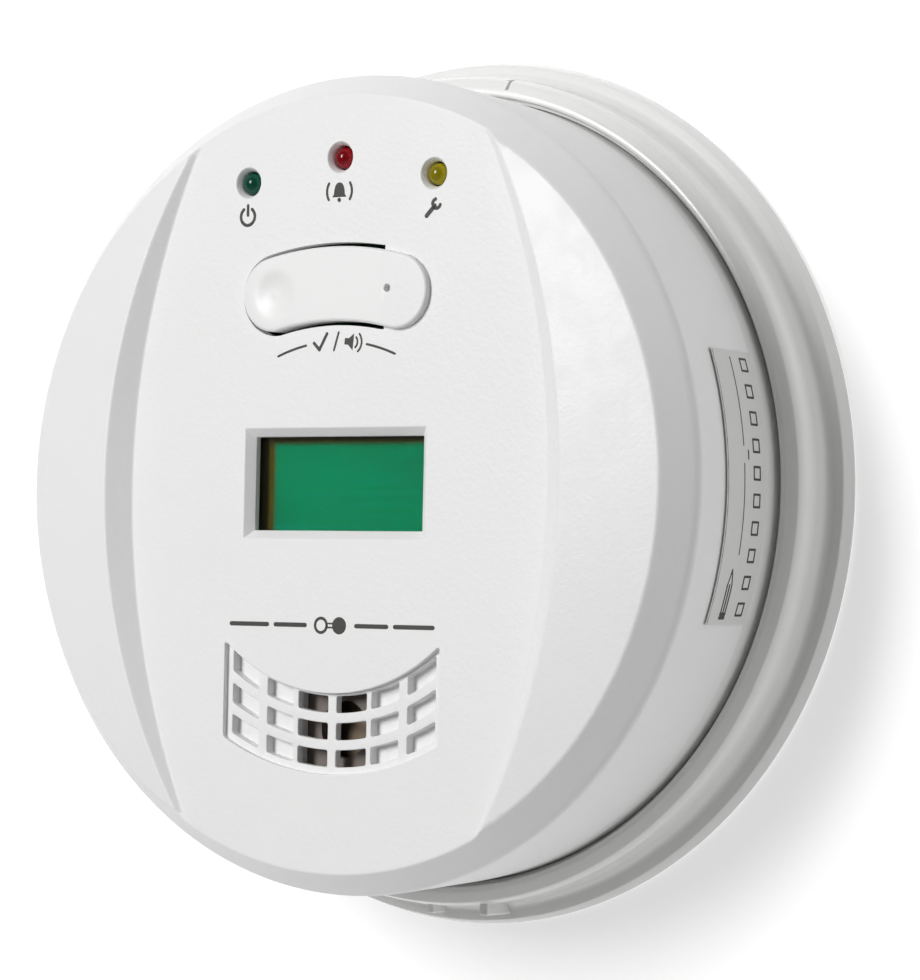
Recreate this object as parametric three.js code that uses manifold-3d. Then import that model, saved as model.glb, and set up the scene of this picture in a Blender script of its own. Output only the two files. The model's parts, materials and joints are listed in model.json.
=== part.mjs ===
// A battery carbon monoxide detector: a round alarm that twists onto a wall plate.
// Millimetres. +Z is up and the front faces -Y. The wall is the plane Y = 0, and every
// "depth" below is a distance from the wall towards the front, so Y = -depth.

import * as THREE from 'three';
import { mergeVertices } from 'three/addons/utils/BufferGeometryUtils.js';
import Module from 'manifold-3d';

const wasm = await Module();
wasm.setup();

// ---------------------------------------------------------------- driving dimensions

const FIT = 0.3;                 // gap between pieces that rest on each other
const SLIDE = 0.25;              // radial gap round pins, stems and lenses

// mounting plate
const flangeWidth = 2.9;         // the flat flange outside the ring
const plateFloor = 2.0;
const flangeHeight = 2.5;        // depth of the sharp outer edge
const ringWall = 2.9;            // thickness of the raised ring
const ringHeight = 10.9;
const bodyGap = 0.6;             // open gap between the ring and the rear housing
const hookCount = 3;
const hookAngle = 90;            // degrees, first hook, seen from the front
const hookInset = 4.35;          // hooks' circle, inside the housing's inner wall
const lockTurn = 15;             // degrees from locked to free
const keyholeSpacing = 55;
const keyholeHeadRadius = 4.5;
const keyholeSlotWidth = 4.4;
const keyholeLength = 9;

// alarm body
const faceRadius = 53.6;         // sharp edge round the domed face
const domeRise = 4.2;
const rimFlare = 3.6;            // how far the rim flares out behind the face edge
const rimDepth = 4.4;            // and how far back
const skirtDraft = 0.85;         // the skirt narrows by this towards the back
const partingDepth = 13.6;       // where cover and rear housing meet
const wall = 2.0;
const housingWall = 1.7;
const housingBack = 5.0;
const housingStep = 0.25;        // the housing is this much smaller than the cover
const spigotLength = 2.7;

// front panel
const panelRecess = 0.6;         // below the face edge
const panelHalfWidth = 35.9;
const panelArcRadius = 109;
const panelWallRise = 2.55;      // height of the sloped wall at mid height
const panelWallRun = 3.2;

// indicators
const ledInset = 8.3;            // indicators' circle, inside the face's edge
const ledSpread = 20.7;          // degrees either side of the top
const ledRadius = 1.5;
const ledFlare = 0.4;            // countersink of each hole
const ledSink = 0.8;

// test button
const buttonCentre = 26.4;       // height of the ends' centres above the middle
const buttonArch = 45.2;         // radius of its curved centre line
const buttonHalfWidth = 5.27;
const buttonEnd = 10.7;          // centre of each round end from the middle
const buttonSlot = 0.6;
const buttonRaise = 1.0;
const buttonHinge = 8.05;
const dimpleRadius = 3.1;
const dimpleDepth = 0.5;
const pinholeRadius = 0.5;

// display
const windowWidth = 28.9;
const windowHeight = 13.1;
const windowBevel = 1.1;
const windowBevelDepth = 1.2;
const displayMargin = 2.6;       // the glass reaches this far behind the window's edge
const lensThickness = 1.0;
const glassThickness = 2.6;
const frameWall = 1.2;

// sound and gas grille
const grilleCentre = -1.0;       // height of the arcs' common centre
const grilleTopRadius = 28.1;
const grilleBottomRadius = 39.3;
const grilleHalfWidth = 18.5;
const grilleRecess = 0.8;
const cellRows = 3;
const cellHeight = 2.35;
const cellPitch = 3.75;
const cellLead = 0.35;           // from the fan's top arc to the first row
const cellColumns = [{ x: 3.3, w: 5.15 }, { x: 9.03, w: 4.6 }, { x: 15.15, w: 4.65 }];
const blindDepth = 1.5;
const padThickness = 1.5;        // extra wall behind the blind cells

// inside
const boardGap = 1.0;            // between the battery bay and the board
const boardThickness = 1.6;
const boardInset = 1.35;         // from the housing's inner wall to the board's edge
const componentSpace = 9.3;      // from the board to the inside of the front panel
const screwRadius = 1.35;
const screwHeadRadius = 2.6;
const screwHeadHeight = 1.8;
const screwSeat = 10.5;          // depth of the shelf under each housing screw's head
const bossRadius = 3.2;
const bossInset = 0.85;          // from the housing's inner wall to each boss
const bossAngles = [40, 140, 254, 286];
const boardPostInset = 10;       // side posts, inside the board's edge
const boardPostRadius = 3;
const cellRadius = 7.25;         // AA cell
const cellLength = 50.5;
const cellCount = 3;
const cellGap = 0.7;
const cellClearance = 0.55;      // in front of the cells and behind them
const bayCentre = 5.5;
const bayWall = 1.4;
const springLength = 4.6;
const contactThickness = 0.5;
const sounderRadius = 11.5;
const sounderWall = 1.2;
const sounderMouth = 4;
const sensorRadius = 10;
const sensorSnout = 4;
const sensorBack = 9.5;          // depth of the sensor's rear face
const sensorGap = 1.4;           // from the sensor to the sounder and to the battery bay
const switchSize = 6;
const switchRise = 3.5;

// date label on the right-hand side of the skirt
const labelHeight = 10.8;
const labelOffset = 0.6;         // in front of the parting line
const labelHalfAngle = 19.3;
const labelThickness = 0.2;

// ---------------------------------------------------------------- derived sizes

const bayCeiling = housingBack + 2 * (cellRadius + cellClearance);
const boardDepth = bayCeiling + bayWall + boardGap;
const boardFront = boardDepth + boardThickness;
const coverInside = boardFront + componentSpace;
const panelDepth = coverInside + wall;
const faceDepth = panelDepth + panelRecess;
const rimRadius = faceRadius + rimFlare;
const rimBack = faceDepth - rimDepth;
const skirtRearRadius = rimRadius - skirtDraft;
const housingRadius = skirtRearRadius - housingStep;
const spigotRadius = skirtRearRadius - wall - FIT;
const housingInside = spigotRadius - housingWall;
const housingFloor = housingBack + housingWall;
const ringInside = housingRadius + bodyGap;
const ringOutside = ringInside + ringWall;
const plateRadius = ringOutside + flangeWidth;
const hookRadius = housingInside - hookInset;
const seat = boardFront + FIT;
const boardRadius = housingInside - boardInset;
const bossCircle = housingInside - bossInset - bossRadius;
const ledCircle = faceRadius - ledInset;
const cellStart = grilleTopRadius + cellLead;
const cellSpacing = 2 * cellRadius + cellGap;
const bayHalfWidth = (cellLength + springLength + 2 * contactThickness + 1.3) / 2;
const bayHalfHeight = (cellCount * cellSpacing) / 2;
const labelRear = partingDepth + labelOffset;
const switchHeight = buttonCentre + 0.6;
const postTop = (switchHeight + switchSize / 2 + ledCircle - ledRadius - 0.8) / 2;
const boardPosts = [
  { x: boardPostInset - boardRadius, z: 0 }, { x: boardRadius - boardPostInset, z: 0 }, { x: 0, z: postTop },
];
const sounderZ = grilleCentre - cellStart - cellPitch - cellHeight / 2 + 0.3;
const sounderHeight = coverInside - padThickness - FIT - seat;
const sensorX = -(sounderRadius + sensorRadius + sensorGap);
const sensorZ = bayCentre - bayHalfHeight - bayWall - sensorGap - sensorRadius;
const DEG = Math.PI / 180;

// ---------------------------------------------------------------- geometry helpers

/** Turns a closed three.js geometry into a solid that can be cut and joined. */
function solid(geometry) {
  const bare = new THREE.BufferGeometry();
  bare.setAttribute('position', geometry.getAttribute('position'));
  bare.setIndex(geometry.index);
  const merged = mergeVertices(bare, 1e-4);
  const place = merged.getAttribute('position');
  const source = merged.index.array;
  const triangles = [];
  let volume = 0;
  const [a, b, c] = [new THREE.Vector3(), new THREE.Vector3(), new THREE.Vector3()];
  for (let i = 0; i < source.length; i += 3) {
    const [p, q, r] = [source[i], source[i + 1], source[i + 2]];
    if (p === q || q === r || r === p) continue;
    triangles.push(p, q, r);
    a.fromBufferAttribute(place, p);
    b.fromBufferAttribute(place, q);
    c.fromBufferAttribute(place, r);
    volume += a.dot(b.cross(c));
  }
  if (volume < 0) triangles.reverse();
  return new wasm.Manifold(new wasm.Mesh({
    numProp: 3,
    vertProperties: new Float32Array(place.array),
    triVerts: new Uint32Array(triangles),
  }));
}

/** A body of revolution about the front-to-back axis, from [radius, depth] pairs. */
function turned(profile, x = 0, z = 0, segments = 72) {
  const points = profile.map(([radius, depth]) => new THREE.Vector2(radius, -depth));
  const closed = points[0].x === 0 && points.at(-1).x === 0;
  if (!closed) points.push(points[0].clone());
  return solid(new THREE.LatheGeometry(points, segments).translate(x, 0, z));
}

/** A round bar between two depths. The end nearer the wall may have its own radius. */
function drum(radius, from, to, x = 0, z = 0, segments = 20, rearRadius = radius) {
  const bar = new THREE.CylinderGeometry(rearRadius, radius, to - from, segments);
  return solid(bar.translate(x, -(from + to) / 2, z));
}

/** A rectangular block, centred at x and z, between two depths. */
function block(width, height, from, to, x = 0, z = 0) {
  return solid(new THREE.BoxGeometry(width, to - from, height).translate(x, -(from + to) / 2, z));
}

/** A flat outline (x, z) given thickness between two depths. */
function slab(shape, from, to, curveSegments = 8) {
  const flat = new THREE.ExtrudeGeometry(shape, { depth: to - from, bevelEnabled: false, curveSegments });
  return solid(flat.translate(0, 0, from).rotateX(Math.PI / 2));
}

/** A cutter whose walls slope outward by `run` over the first `rise` of its depth. */
function flaredCutter(shape, from, rise, run, to, curveSegments = 24) {
  const options = {
    depth: to - from, bevelEnabled: true, bevelThickness: rise, bevelSize: run, bevelSegments: 1, curveSegments,
  };
  return solid(new THREE.ExtrudeGeometry(shape, options).translate(0, 0, from + rise).rotateX(Math.PI / 2));
}

/** Rectangle outline centred at x and z. */
function rectangle(width, height, x = 0, z = 0) {
  const [w, h] = [width / 2, height / 2];
  return new THREE.Shape([[x - w, z - h], [x + w, z - h], [x + w, z + h], [x - w, z + h]]
    .map(([u, v]) => new THREE.Vector2(u, v)));
}

/** Part of a ring about a centre on the vertical axis; angles in degrees from +X. */
function ringSector(inner, outer, from, to, centreZ = 0) {
  const shape = new THREE.Shape();
  shape.absarc(0, centreZ, outer, from * DEG, to * DEG, false);
  shape.absarc(0, centreZ, inner, to * DEG, from * DEG, true);
  shape.closePath();
  return shape;
}

/** Point on a circle about the middle of the detector; angle in degrees from +X. */
function onCircle(radius, angle) {
  return { x: radius * Math.cos(angle * DEG), z: radius * Math.sin(angle * DEG) };
}

const joined = (...solids) => solids.reduce((sum, next) => sum.add(next));
const cut = (body, ...tools) => tools.reduce((left, tool) => left.subtract(tool), body);

const group = new THREE.Group();

/** Adds one named piece to the detector. */
function addPiece(name, body, material) {
  const mesh = body.getMesh();
  const geometry = new THREE.BufferGeometry();
  geometry.setAttribute('position', new THREE.BufferAttribute(new Float32Array(mesh.vertProperties), 3));
  geometry.setIndex(new THREE.BufferAttribute(new Uint32Array(mesh.triVerts), 1));
  geometry.computeVertexNormals();
  const piece = new THREE.Mesh(geometry, material);
  piece.name = name;
  group.add(piece);
}

const finish = (color, roughness, metalness = 0) => new THREE.MeshStandardMaterial({ color, roughness, metalness });
const materials = {
  whitePlastic: finish(0xeeeeec, 0.5),
  plateWhite: finish(0xeaeae8, 0.35),
  buttonWhite: finish(0xf0f0ee, 0.4),
  darkPlastic: finish(0x2a2420, 0.5),
  clear: new THREE.MeshStandardMaterial({ color: 0xdfeee6, roughness: 0.05, transparent: true, opacity: 0.35 }),
  display: finish(0x0b7a52, 0.2),
  backlight: finish(0xb8e8cc, 0.4),
  rubber: finish(0x303030, 0.9),
  board: finish(0x1f5a34, 0.5),
  steel: finish(0xb9bbbd, 0.35, 1),
  brass: finish(0xc2a04a, 0.35, 1),
  ledGreen: finish(0x0b4a2c, 0.1),
  ledRed: finish(0x6a0d12, 0.1),
  ledYellow: finish(0x8a7a10, 0.1),
  felt: finish(0xf2f2ee, 0.95),
  chip: finish(0x18181a, 0.5),
  sleeve: finish(0x2b3f7a, 0.4),
  cellJacket: finish(0x6f7478, 0.3),
  label: finish(0xd9d9d4, 0.6),
};

// ---------------------------------------------------------------- mounting plate

/** One twist-lock hook: a stem with a wider head that holds the housing's floor. */
function hook(angle) {
  const stem = slab(ringSector(hookRadius - 1, hookRadius + 1, angle - 3, angle + 3),
    plateFloor - 0.5, housingFloor + FIT + 1.5);
  const head = slab(ringSector(hookRadius - 2.1, hookRadius + 2.1, angle - 3, angle + 3),
    housingFloor + FIT, housingFloor + FIT + 1.5);
  return stem.add(head);
}

/** Round hole for a screw's head with a narrow slot above it. */
function keyhole(x) {
  const slot = new THREE.Shape();
  const half = keyholeSlotWidth / 2;
  slot.moveTo(x - half, 0);
  slot.lineTo(x - half, keyholeLength);
  slot.absarc(x, keyholeLength, half, Math.PI, 0, true);
  slot.lineTo(x + half, 0);
  slot.closePath();
  return drum(keyholeHeadRadius, -1, plateFloor + 1, x, 0).add(slab(slot, -1, plateFloor + 1));
}

function buildMountingPlate() {
  const o = ringOutside;
  const h = ringHeight;
  const edge = plateRadius - 0.5;
  let plate = turned([
    [0, 0], [plateRadius, 0], [plateRadius, 0.4], [edge, flangeHeight],
    [o + 0.8, flangeHeight + 0.85], [o + 0.25, flangeHeight + 1.3], [o, flangeHeight + 2.1],
    [o, h - 2.4], [o - 0.15, h - 1.7], [o - 0.6, h - 0.9],
    [ringInside + 0.5, h], [ringInside + 0.15, h - 0.2], [ringInside, h - 0.7],
    [ringInside, plateFloor], [0, plateFloor],
  ]);
  for (let i = 0; i < hookCount; i += 1) plate = plate.add(hook(hookAngle + (i * 360) / hookCount));
  plate = cut(plate, keyhole(-keyholeSpacing / 2), keyhole(keyholeSpacing / 2));
  // two grip ribs at the bottom and an alignment nick at the top of the ring
  const ribFoot = -Math.sqrt(o ** 2 - 9 ** 2);
  plate = plate.add(block(1.0, 2.2, 1.2, h - 4.5, -3, ribFoot - 1.0));
  plate = plate.add(block(1.4, 2.6, 1.2, h - 2.0, 8, ribFoot - 0.6));
  const nick = onCircle(o, 82.5);
  return cut(plate, block(0.5, 1.6, flangeHeight + 0.4, h - 3, nick.x, nick.z));
}

// ---------------------------------------------------------------- rear housing

/** The slot a hook enters: wide where the head passes and narrow where it is held. */
function hookSlot(angle) {
  const narrow = ringSector(hookRadius - 1.5, hookRadius + 1.5, angle - lockTurn - 5, angle + 3.6);
  const wide = ringSector(hookRadius - 2.6, hookRadius + 2.6, angle - lockTurn - 5, angle - lockTurn + 5);
  const [from, to] = [housingBack - 1, housingFloor + 1];
  return slab(narrow, from, to).add(slab(wide, from, to));
}

function screwWell({ x, z }) {
  return drum(bossRadius + 0.7, housingBack, screwSeat + 1.6, x, z);
}

function screwWellBore({ x, z }) {
  const head = drum(screwHeadRadius + FIT, housingBack - 1, screwSeat, x, z);
  return head.add(drum(screwRadius + FIT, housingBack - 1, screwSeat + 2.6, x, z));
}

const cellHeightAt = (index) => bayCentre + (index - (cellCount - 1) / 2) * cellSpacing;

function buildRearHousing() {
  const inner = housingInside;
  let housing = turned([
    [0, housingBack], [housingRadius - 1.2, housingBack], [housingRadius, housingBack + 1.2],
    [housingRadius, partingDepth - FIT], [spigotRadius, partingDepth - FIT],
    [spigotRadius, partingDepth + spigotLength], [inner, partingDepth + spigotLength],
    [inner, housingFloor], [0, housingFloor],
  ]);
  const outerWidth = 2 * (bayHalfWidth + bayWall);
  const outerHeight = 2 * (bayHalfHeight + bayWall);
  housing = housing.add(block(outerWidth, outerHeight, housingBack, bayCeiling + bayWall, 0, bayCentre));
  for (const post of boardPosts) {
    housing = housing.add(drum(boardPostRadius, housingBack, boardDepth - FIT, post.x, post.z));
  }
  const wells = bossAngles.map((angle) => onCircle(bossCircle, angle));
  for (const well of wells) housing = housing.add(screwWell(well));
  housing = cut(housing, ...wells.map(screwWellBore));
  housing = housing.subtract(block(2 * bayHalfWidth, 2 * bayHalfHeight, housingBack - 1, bayCeiling, 0, bayCentre));
  // saddles between the cells
  for (let i = 1; i < cellCount; i += 1) {
    const z = (cellHeightAt(i - 1) + cellHeightAt(i)) / 2;
    housing = housing.add(block(cellLength - 16, 1.2, bayCeiling - 4, bayCeiling + 0.5, 0, z));
  }
  for (const post of boardPosts) {
    housing = housing.subtract(drum(1.3, housingFloor + 4, boardDepth, post.x, post.z, 16));
  }
  for (let i = 0; i < hookCount; i += 1) housing = housing.subtract(hookSlot(hookAngle + (i * 360) / hookCount));
  for (const tab of contactTabs()) {
    housing = housing.subtract(block(tab.w + 0.8, 4.6, bayCeiling - 1, bayCeiling + bayWall + 1, tab.x, tab.z));
  }
  return housing;
}

// ---------------------------------------------------------------- front cover

/** Outline of the arched test button, grown by `grow` on every side. */
function buttonOutline(grow = 0) {
  const half = buttonHalfWidth + grow;
  const lean = Math.asin(buttonEnd / buttonArch);
  const centreZ = buttonCentre - buttonArch * Math.cos(lean);
  const up = Math.PI / 2;
  const shape = new THREE.Shape();
  shape.absarc(0, centreZ, buttonArch + half, up - lean, up + lean, false);
  shape.absarc(-buttonEnd, buttonCentre, half, up + lean, up + lean + Math.PI, false);
  shape.absarc(0, centreZ, buttonArch - half, up + lean, up - lean, true);
  shape.absarc(buttonEnd, buttonCentre, half, -up - lean, up - lean, false);
  return shape;
}

/** The wide, flat front panel between its two long arcs. */
function panelOutline() {
  const reach = plateRadius;
  const centre = panelHalfWidth - panelArcRadius;
  const sweep = Math.asin(reach / panelArcRadius);
  const shape = new THREE.Shape();
  shape.absarc(centre, 0, panelArcRadius, -sweep, sweep, false);
  shape.absarc(-centre, 0, panelArcRadius, Math.PI - sweep, Math.PI + sweep, false);
  shape.closePath();
  return shape;
}

/** The fan-shaped area of the grille: between two arcs and two upright sides. */
function grilleOutline(grow = 0) {
  const half = grilleHalfWidth + grow;
  const top = grilleTopRadius - grow;
  const bottom = grilleBottomRadius + grow;
  const shape = new THREE.Shape();
  const [a, b] = [Math.asin(half / bottom), Math.asin(half / top)];
  const down = -Math.PI / 2;
  shape.absarc(0, grilleCentre, bottom, down - a, down + a, false);
  shape.absarc(0, grilleCentre, top, down + b, down - b, true);
  shape.closePath();
  return shape;
}

/** One grille cell: an upright strip between two of the arcs. */
function grilleCell(x, width, row, from, to) {
  const inner = cellStart + row * cellPitch;
  const band = slab(ringSector(inner, inner + cellHeight, 220, 320, grilleCentre), from, to, 32);
  return band.intersect(block(width, 60, from - 1, to + 1, x, grilleCentre - 35));
}

function ledPlaces() {
  return [90 + ledSpread, 90, 90 - ledSpread].map((angle) => onCircle(ledCircle, angle));
}

function buildFrontCover() {
  const domeRadius = (faceRadius ** 2 + domeRise ** 2) / (2 * domeRise);
  const domeSteps = 6;
  const dome = [];
  for (let i = 0; i <= domeSteps; i += 1) {
    const radius = (faceRadius * i) / domeSteps;
    dome.push([radius, faceDepth + domeRise - domeRadius + Math.sqrt(domeRadius ** 2 - radius ** 2)]);
  }
  const skirtInside = skirtRearRadius - wall;
  let cover = turned([
    ...dome,
    [rimRadius - 0.5, rimBack + 0.55], [rimRadius, rimBack - 0.2], [rimRadius - 0.05, rimBack - 1.0],
    [skirtRearRadius, partingDepth], [skirtInside, partingDepth],
    [skirtInside, coverInside - 3.5], [skirtInside - 3.5, coverInside], [0, coverInside],
  ]);
  // screw bosses that reach back to the rear housing's wells
  const bosses = bossAngles.map((angle) => onCircle(bossCircle, angle));
  const bossFoot = screwSeat + 1.6 + FIT;
  for (const { x, z } of bosses) cover = cover.add(drum(bossRadius, bossFoot, coverInside + 0.5, x, z));
  // extra wall behind the grille's blind cells
  const pad = slab(grilleOutline(0.4), coverInside - padThickness, coverInside + 0.2, 16);
  const throughWidth = 2 * (cellColumns[0].x + cellColumns[0].w / 2) + 0.6;
  cover = cover.add(pad.subtract(block(throughWidth, 60, coverInside - 9, coverInside, 0, grilleCentre - 35)));
  // the panel, then the raised end of the button that stays fixed
  cover = cover.subtract(flaredCutter(panelOutline(), panelDepth, panelWallRise, panelWallRun, faceDepth + 30, 40));
  const raised = panelDepth + buttonRaise;
  const fixedSide = block(30, 30, 0, 60, buttonHinge + FIT / 2 + 15, buttonCentre);
  cover = cover.add(slab(buttonOutline(), coverInside, raised).intersect(fixedSide));
  const opening = slab(buttonOutline(buttonSlot), coverInside - 1, raised + 1);
  cover = cover.subtract(opening.intersect(block(40, 40, 0, 60, buttonHinge + FIT / 2 - 20, buttonCentre)));
  cover = cover.subtract(drum(pinholeRadius, coverInside - 1, raised + 1, buttonHinge + 0.95, buttonCentre + 0.4, 16));
  for (const { x, z } of ledPlaces()) {
    const hole = drum(ledRadius + SLIDE, coverInside - 1, panelDepth + 1, x, z);
    const sink = drum(ledRadius + SLIDE + 2 * ledFlare, panelDepth - ledSink, panelDepth + ledSink, x, z, 20,
      ledRadius + SLIDE);
    cover = cut(cover, hole, sink);
  }
  const opened = slab(rectangle(windowWidth, windowHeight), coverInside - 1, panelDepth + 1);
  const bevel = flaredCutter(rectangle(windowWidth, windowHeight), panelDepth - windowBevelDepth,
    windowBevelDepth, windowBevel, panelDepth + 5);
  cover = cut(cover, opened, bevel);
  const barDepth = panelDepth - grilleRecess;
  cover = cover.subtract(slab(grilleOutline(), barDepth, panelDepth + 5, 20));
  cellColumns.forEach(({ x, w }, column) => {
    const from = column === 0 ? coverInside - 1 : barDepth - blindDepth;
    for (const side of [-1, 1]) {
      for (let row = 0; row < cellRows; row += 1) {
        cover = cover.subtract(grilleCell(side * x, w, row, from, barDepth + 1));
      }
    }
  });
  return cut(cover, ...bosses.map(({ x, z }) => drum(screwRadius + SLIDE, bossFoot - 1, 30, x, z, 24)));
}

function buildTestButton() {
  const raised = panelDepth + buttonRaise;
  const whole = slab(buttonOutline(), coverInside, raised);
  const tongue = whole.intersect(block(40, 40, 0, 60, buttonHinge - FIT / 2 - 20, buttonCentre));
  const sphere = (dimpleRadius ** 2 + dimpleDepth ** 2) / (2 * dimpleDepth);
  const dimple = solid(new THREE.SphereGeometry(sphere, 32, 40)
    .translate(-buttonEnd + 0.4, -(raised + sphere - dimpleDepth), buttonCentre));
  const rib = block(2, 5, switchTip + FIT, coverInside + 0.5, 0, switchHeight);
  return tongue.subtract(dimple).add(rib);
}

// ---------------------------------------------------------------- switch under the button

const switchBodyTop = seat + switchRise;
const switchTip = coverInside - 1.9;
const plungerRadius = 1.7;

function buildSwitch() {
  const foot = seat + 1.0;
  const body = block(switchSize, switchSize, seat, switchBodyTop, 0, switchHeight);
  const bore = drum(plungerRadius + SLIDE, foot, switchBodyTop + 1, 0, switchHeight, 24);
  addPiece('switch_body', body.subtract(bore), materials.chip);
  addPiece('switch_plunger', drum(plungerRadius, foot + 0.8, switchTip, 0, switchHeight, 24), materials.chip);
}

// ---------------------------------------------------------------- display

function buildDisplay() {
  const width = windowWidth + 2 * displayMargin;
  const height = windowHeight + 2 * displayMargin;
  const lensFront = coverInside - FIT;
  const glassFront = lensFront - lensThickness - FIT;
  const glassBack = glassFront - glassThickness;
  addPiece('lcd_window', block(width, height, glassFront + FIT, lensFront), materials.clear);
  addPiece('lcd_panel', block(width, height, glassBack, glassFront), materials.display);
  const lightFront = glassBack - FIT;
  const lightHeight = height - 6;
  addPiece('lcd_backlight', block(width, lightHeight, seat + 0.6, lightFront), materials.backlight);
  const stripHeight = height / 2 - 1.3;
  for (const [name, side] of [['upper', 1], ['lower', -1]]) {
    addPiece(`lcd_connector_${name}`, block(width - 4, 1.8, seat, lightFront, 0, side * stripHeight),
      materials.rubber);
  }
  const outer = block(width + 2 * (FIT + frameWall), height + 2 * (FIT + frameWall), seat, glassFront);
  const inner = block(width + 2 * FIT, height + 2 * FIT, seat - 1, glassFront + 1);
  addPiece('lcd_frame', outer.subtract(inner), materials.darkPlastic);
}

// ---------------------------------------------------------------- indicators

function buildIndicators() {
  const colours = { power: materials.ledGreen, alarm: materials.ledRed, fault: materials.ledYellow };
  const tip = panelDepth;             // the domes end flush with the panel
  const shoulder = tip - ledRadius;
  const flange = shoulder - 2.8;
  const dome = [15, 30, 45, 60, 75].map((t) => [ledRadius * Math.cos(t * DEG), shoulder + ledRadius * Math.sin(t * DEG)]);
  Object.entries(colours).forEach(([name, material], index) => {
    const { x, z } = ledPlaces()[index];
    const body = turned([
      [0, flange - 1], [ledRadius + 0.4, flange - 1], [ledRadius + 0.4, flange], [ledRadius, flange],
      [ledRadius, shoulder], ...dome, [0, tip],
    ], x, z, 24);
    const legs = [-1.27, 1.27].map((side) => block(0.5, 0.5, seat, flange - 0.8, x + side * 0.5, z));
    addPiece(`led_${name}`, joined(body, ...legs), material);
    const spacer = drum(ledRadius + 0.8, seat, flange - 1 - FIT, x, z, 24);
    addPiece(`led_spacer_${name}`, spacer.subtract(drum(1.35, seat - 1, flange, x, z, 24)), materials.felt);
  });
}

// ---------------------------------------------------------------- circuit board and what it carries

function buildBoard() {
  let board = drum(boardRadius, boardDepth, boardFront, 0, 0, 72);
  for (const angle of bossAngles) {
    const { x, z } = onCircle(bossCircle, angle);
    board = board.subtract(drum(bossRadius + 0.6, boardDepth - 1, boardFront + 1, x, z));
  }
  for (const { x, z } of boardPosts) {
    board = board.subtract(drum(screwRadius - 0.1, boardDepth - 1, boardFront + 1, x, z, 16));
  }
  board = board.subtract(drum(sensorSnout + 0.4, boardDepth - 1, boardFront + 1, sensorX, sensorZ));
  addPiece('circuit_board', board, materials.board);
  addPiece('microcontroller', block(10, 10, seat, seat + 1.4, -28, 9), materials.chip);
  for (const [index, z] of [-13, -4].entries()) {
    addPiece(`capacitor_${index + 1}`, drum(3.15, seat, seat + 7, 27, z, 24), materials.sleeve);
  }
  addPiece('boost_inductor', drum(4, seat, seat + 4.5, -28, -8, 24), materials.chip);
  addPiece('sounder_coil', block(8, 8, seat, seat + 6.5, 27, 9), materials.chip);
  const crystal = new THREE.CylinderGeometry(1.5, 1.5, 8, 16).rotateX(Math.PI / 2);
  addPiece('clock_crystal', solid(crystal.translate(-28, -(seat + 1.5), 22)), materials.steel);
  boardPosts.forEach(({ x, z }, index) => {
    const head = drum(2.1, boardFront + FIT, boardFront + FIT + 1.4, x, z, 24);
    const slot = block(0.7, 5, boardFront + FIT + 0.8, boardFront + 5, x, z);
    const shank = drum(screwRadius - 0.4, boardDepth - 7, boardFront + FIT + 0.4, x, z, 16);
    addPiece(`board_screw_${index + 1}`, head.subtract(slot).add(shank), materials.steel);
  });
}

function buildSensor() {
  const [radius, snout, depth] = [sensorRadius, sensorSnout, sensorBack];
  const canFront = boardDepth - FIT;
  const snoutFront = boardFront + 3;
  const body = turned([
    [0, depth], [radius - 0.8, depth], [radius, depth + 0.8], [radius, depth + 3],
    [radius - 0.4, depth + 3.4], [radius - 0.4, canFront - 0.6], [radius - 1, canFront], [snout, canFront],
    [snout, snoutFront], [snout - 0.8, snoutFront], [snout - 0.8, snoutFront - 1.5], [0, snoutFront - 1.5],
  ], sensorX, sensorZ, 32);
  addPiece('co_sensor', body, materials.steel);
  const felt = drum(snout - 0.8 - SLIDE, snoutFront - 1.2, snoutFront - 0.2, sensorX, sensorZ, 24);
  addPiece('sensor_filter', felt, materials.felt);
}

function buildSounder() {
  const radius = sounderRadius;
  const front = seat + sounderHeight;
  const inside = radius - sounderWall;
  const chamber = turned([
    [radius, seat], [radius, front - 0.6], [radius - 0.6, front], [sounderMouth, front],
    [sounderMouth, front - sounderWall], [inside, front - sounderWall], [inside, seat],
  ], 0, sounderZ, 40);
  addPiece('sounder_chamber', chamber, materials.darkPlastic);
  const discFront = seat + 2.2;
  const plate = drum(inside - FIT, discFront - 0.3, discFront, 0, sounderZ, 32);
  const ceramic = drum(inside - 3, discFront - 0.1, discFront + 0.25, 0, sounderZ, 32);
  addPiece('piezo_disc', plate.add(ceramic), materials.brass);
}

// ---------------------------------------------------------------- batteries and contacts

const cellDepth = housingBack + cellClearance + cellRadius;
const contactX = bayHalfWidth - FIT - contactThickness / 2;
/** Alternate cells face opposite ways; +1 has its positive end on the right. */
const cellDirection = (index) => (index % 2 === 0 ? 1 : -1);
/** The cell sits against its positive plate and leaves room for the spring. */
const cellCentreX = (index) => cellDirection(index) * (bayHalfWidth - 2 * FIT - contactThickness - cellLength / 2);

/** The two end contacts have tabs that reach forward to the circuit board. */
function contactTabs() {
  const first = cellDirection(0);
  const last = -cellDirection(cellCount - 1);
  return [
    { x: first * contactX, z: cellHeightAt(0), w: contactThickness },
    { x: last * contactX, z: cellHeightAt(cellCount - 1), w: contactThickness },
  ];
}

function buildCell(index) {
  const half = cellLength / 2;
  const jacket = half - 1.4;
  const profile = [
    [0, -half], [cellRadius - 2.2, -half], [cellRadius - 0.5, -half + 0.5], [cellRadius, -half + 1],
    [cellRadius, jacket - 0.8], [cellRadius - 0.8, jacket], [2.7, jacket], [2.7, half - 0.2], [2.5, half], [0, half],
  ];
  const points = profile.map(([radius, along]) => new THREE.Vector2(radius, along));
  const cell = new THREE.LatheGeometry(points, 24).rotateZ(-cellDirection(index) * 90 * DEG);
  return solid(cell.translate(cellCentreX(index), -cellDepth, cellHeightAt(index)));
}

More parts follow.
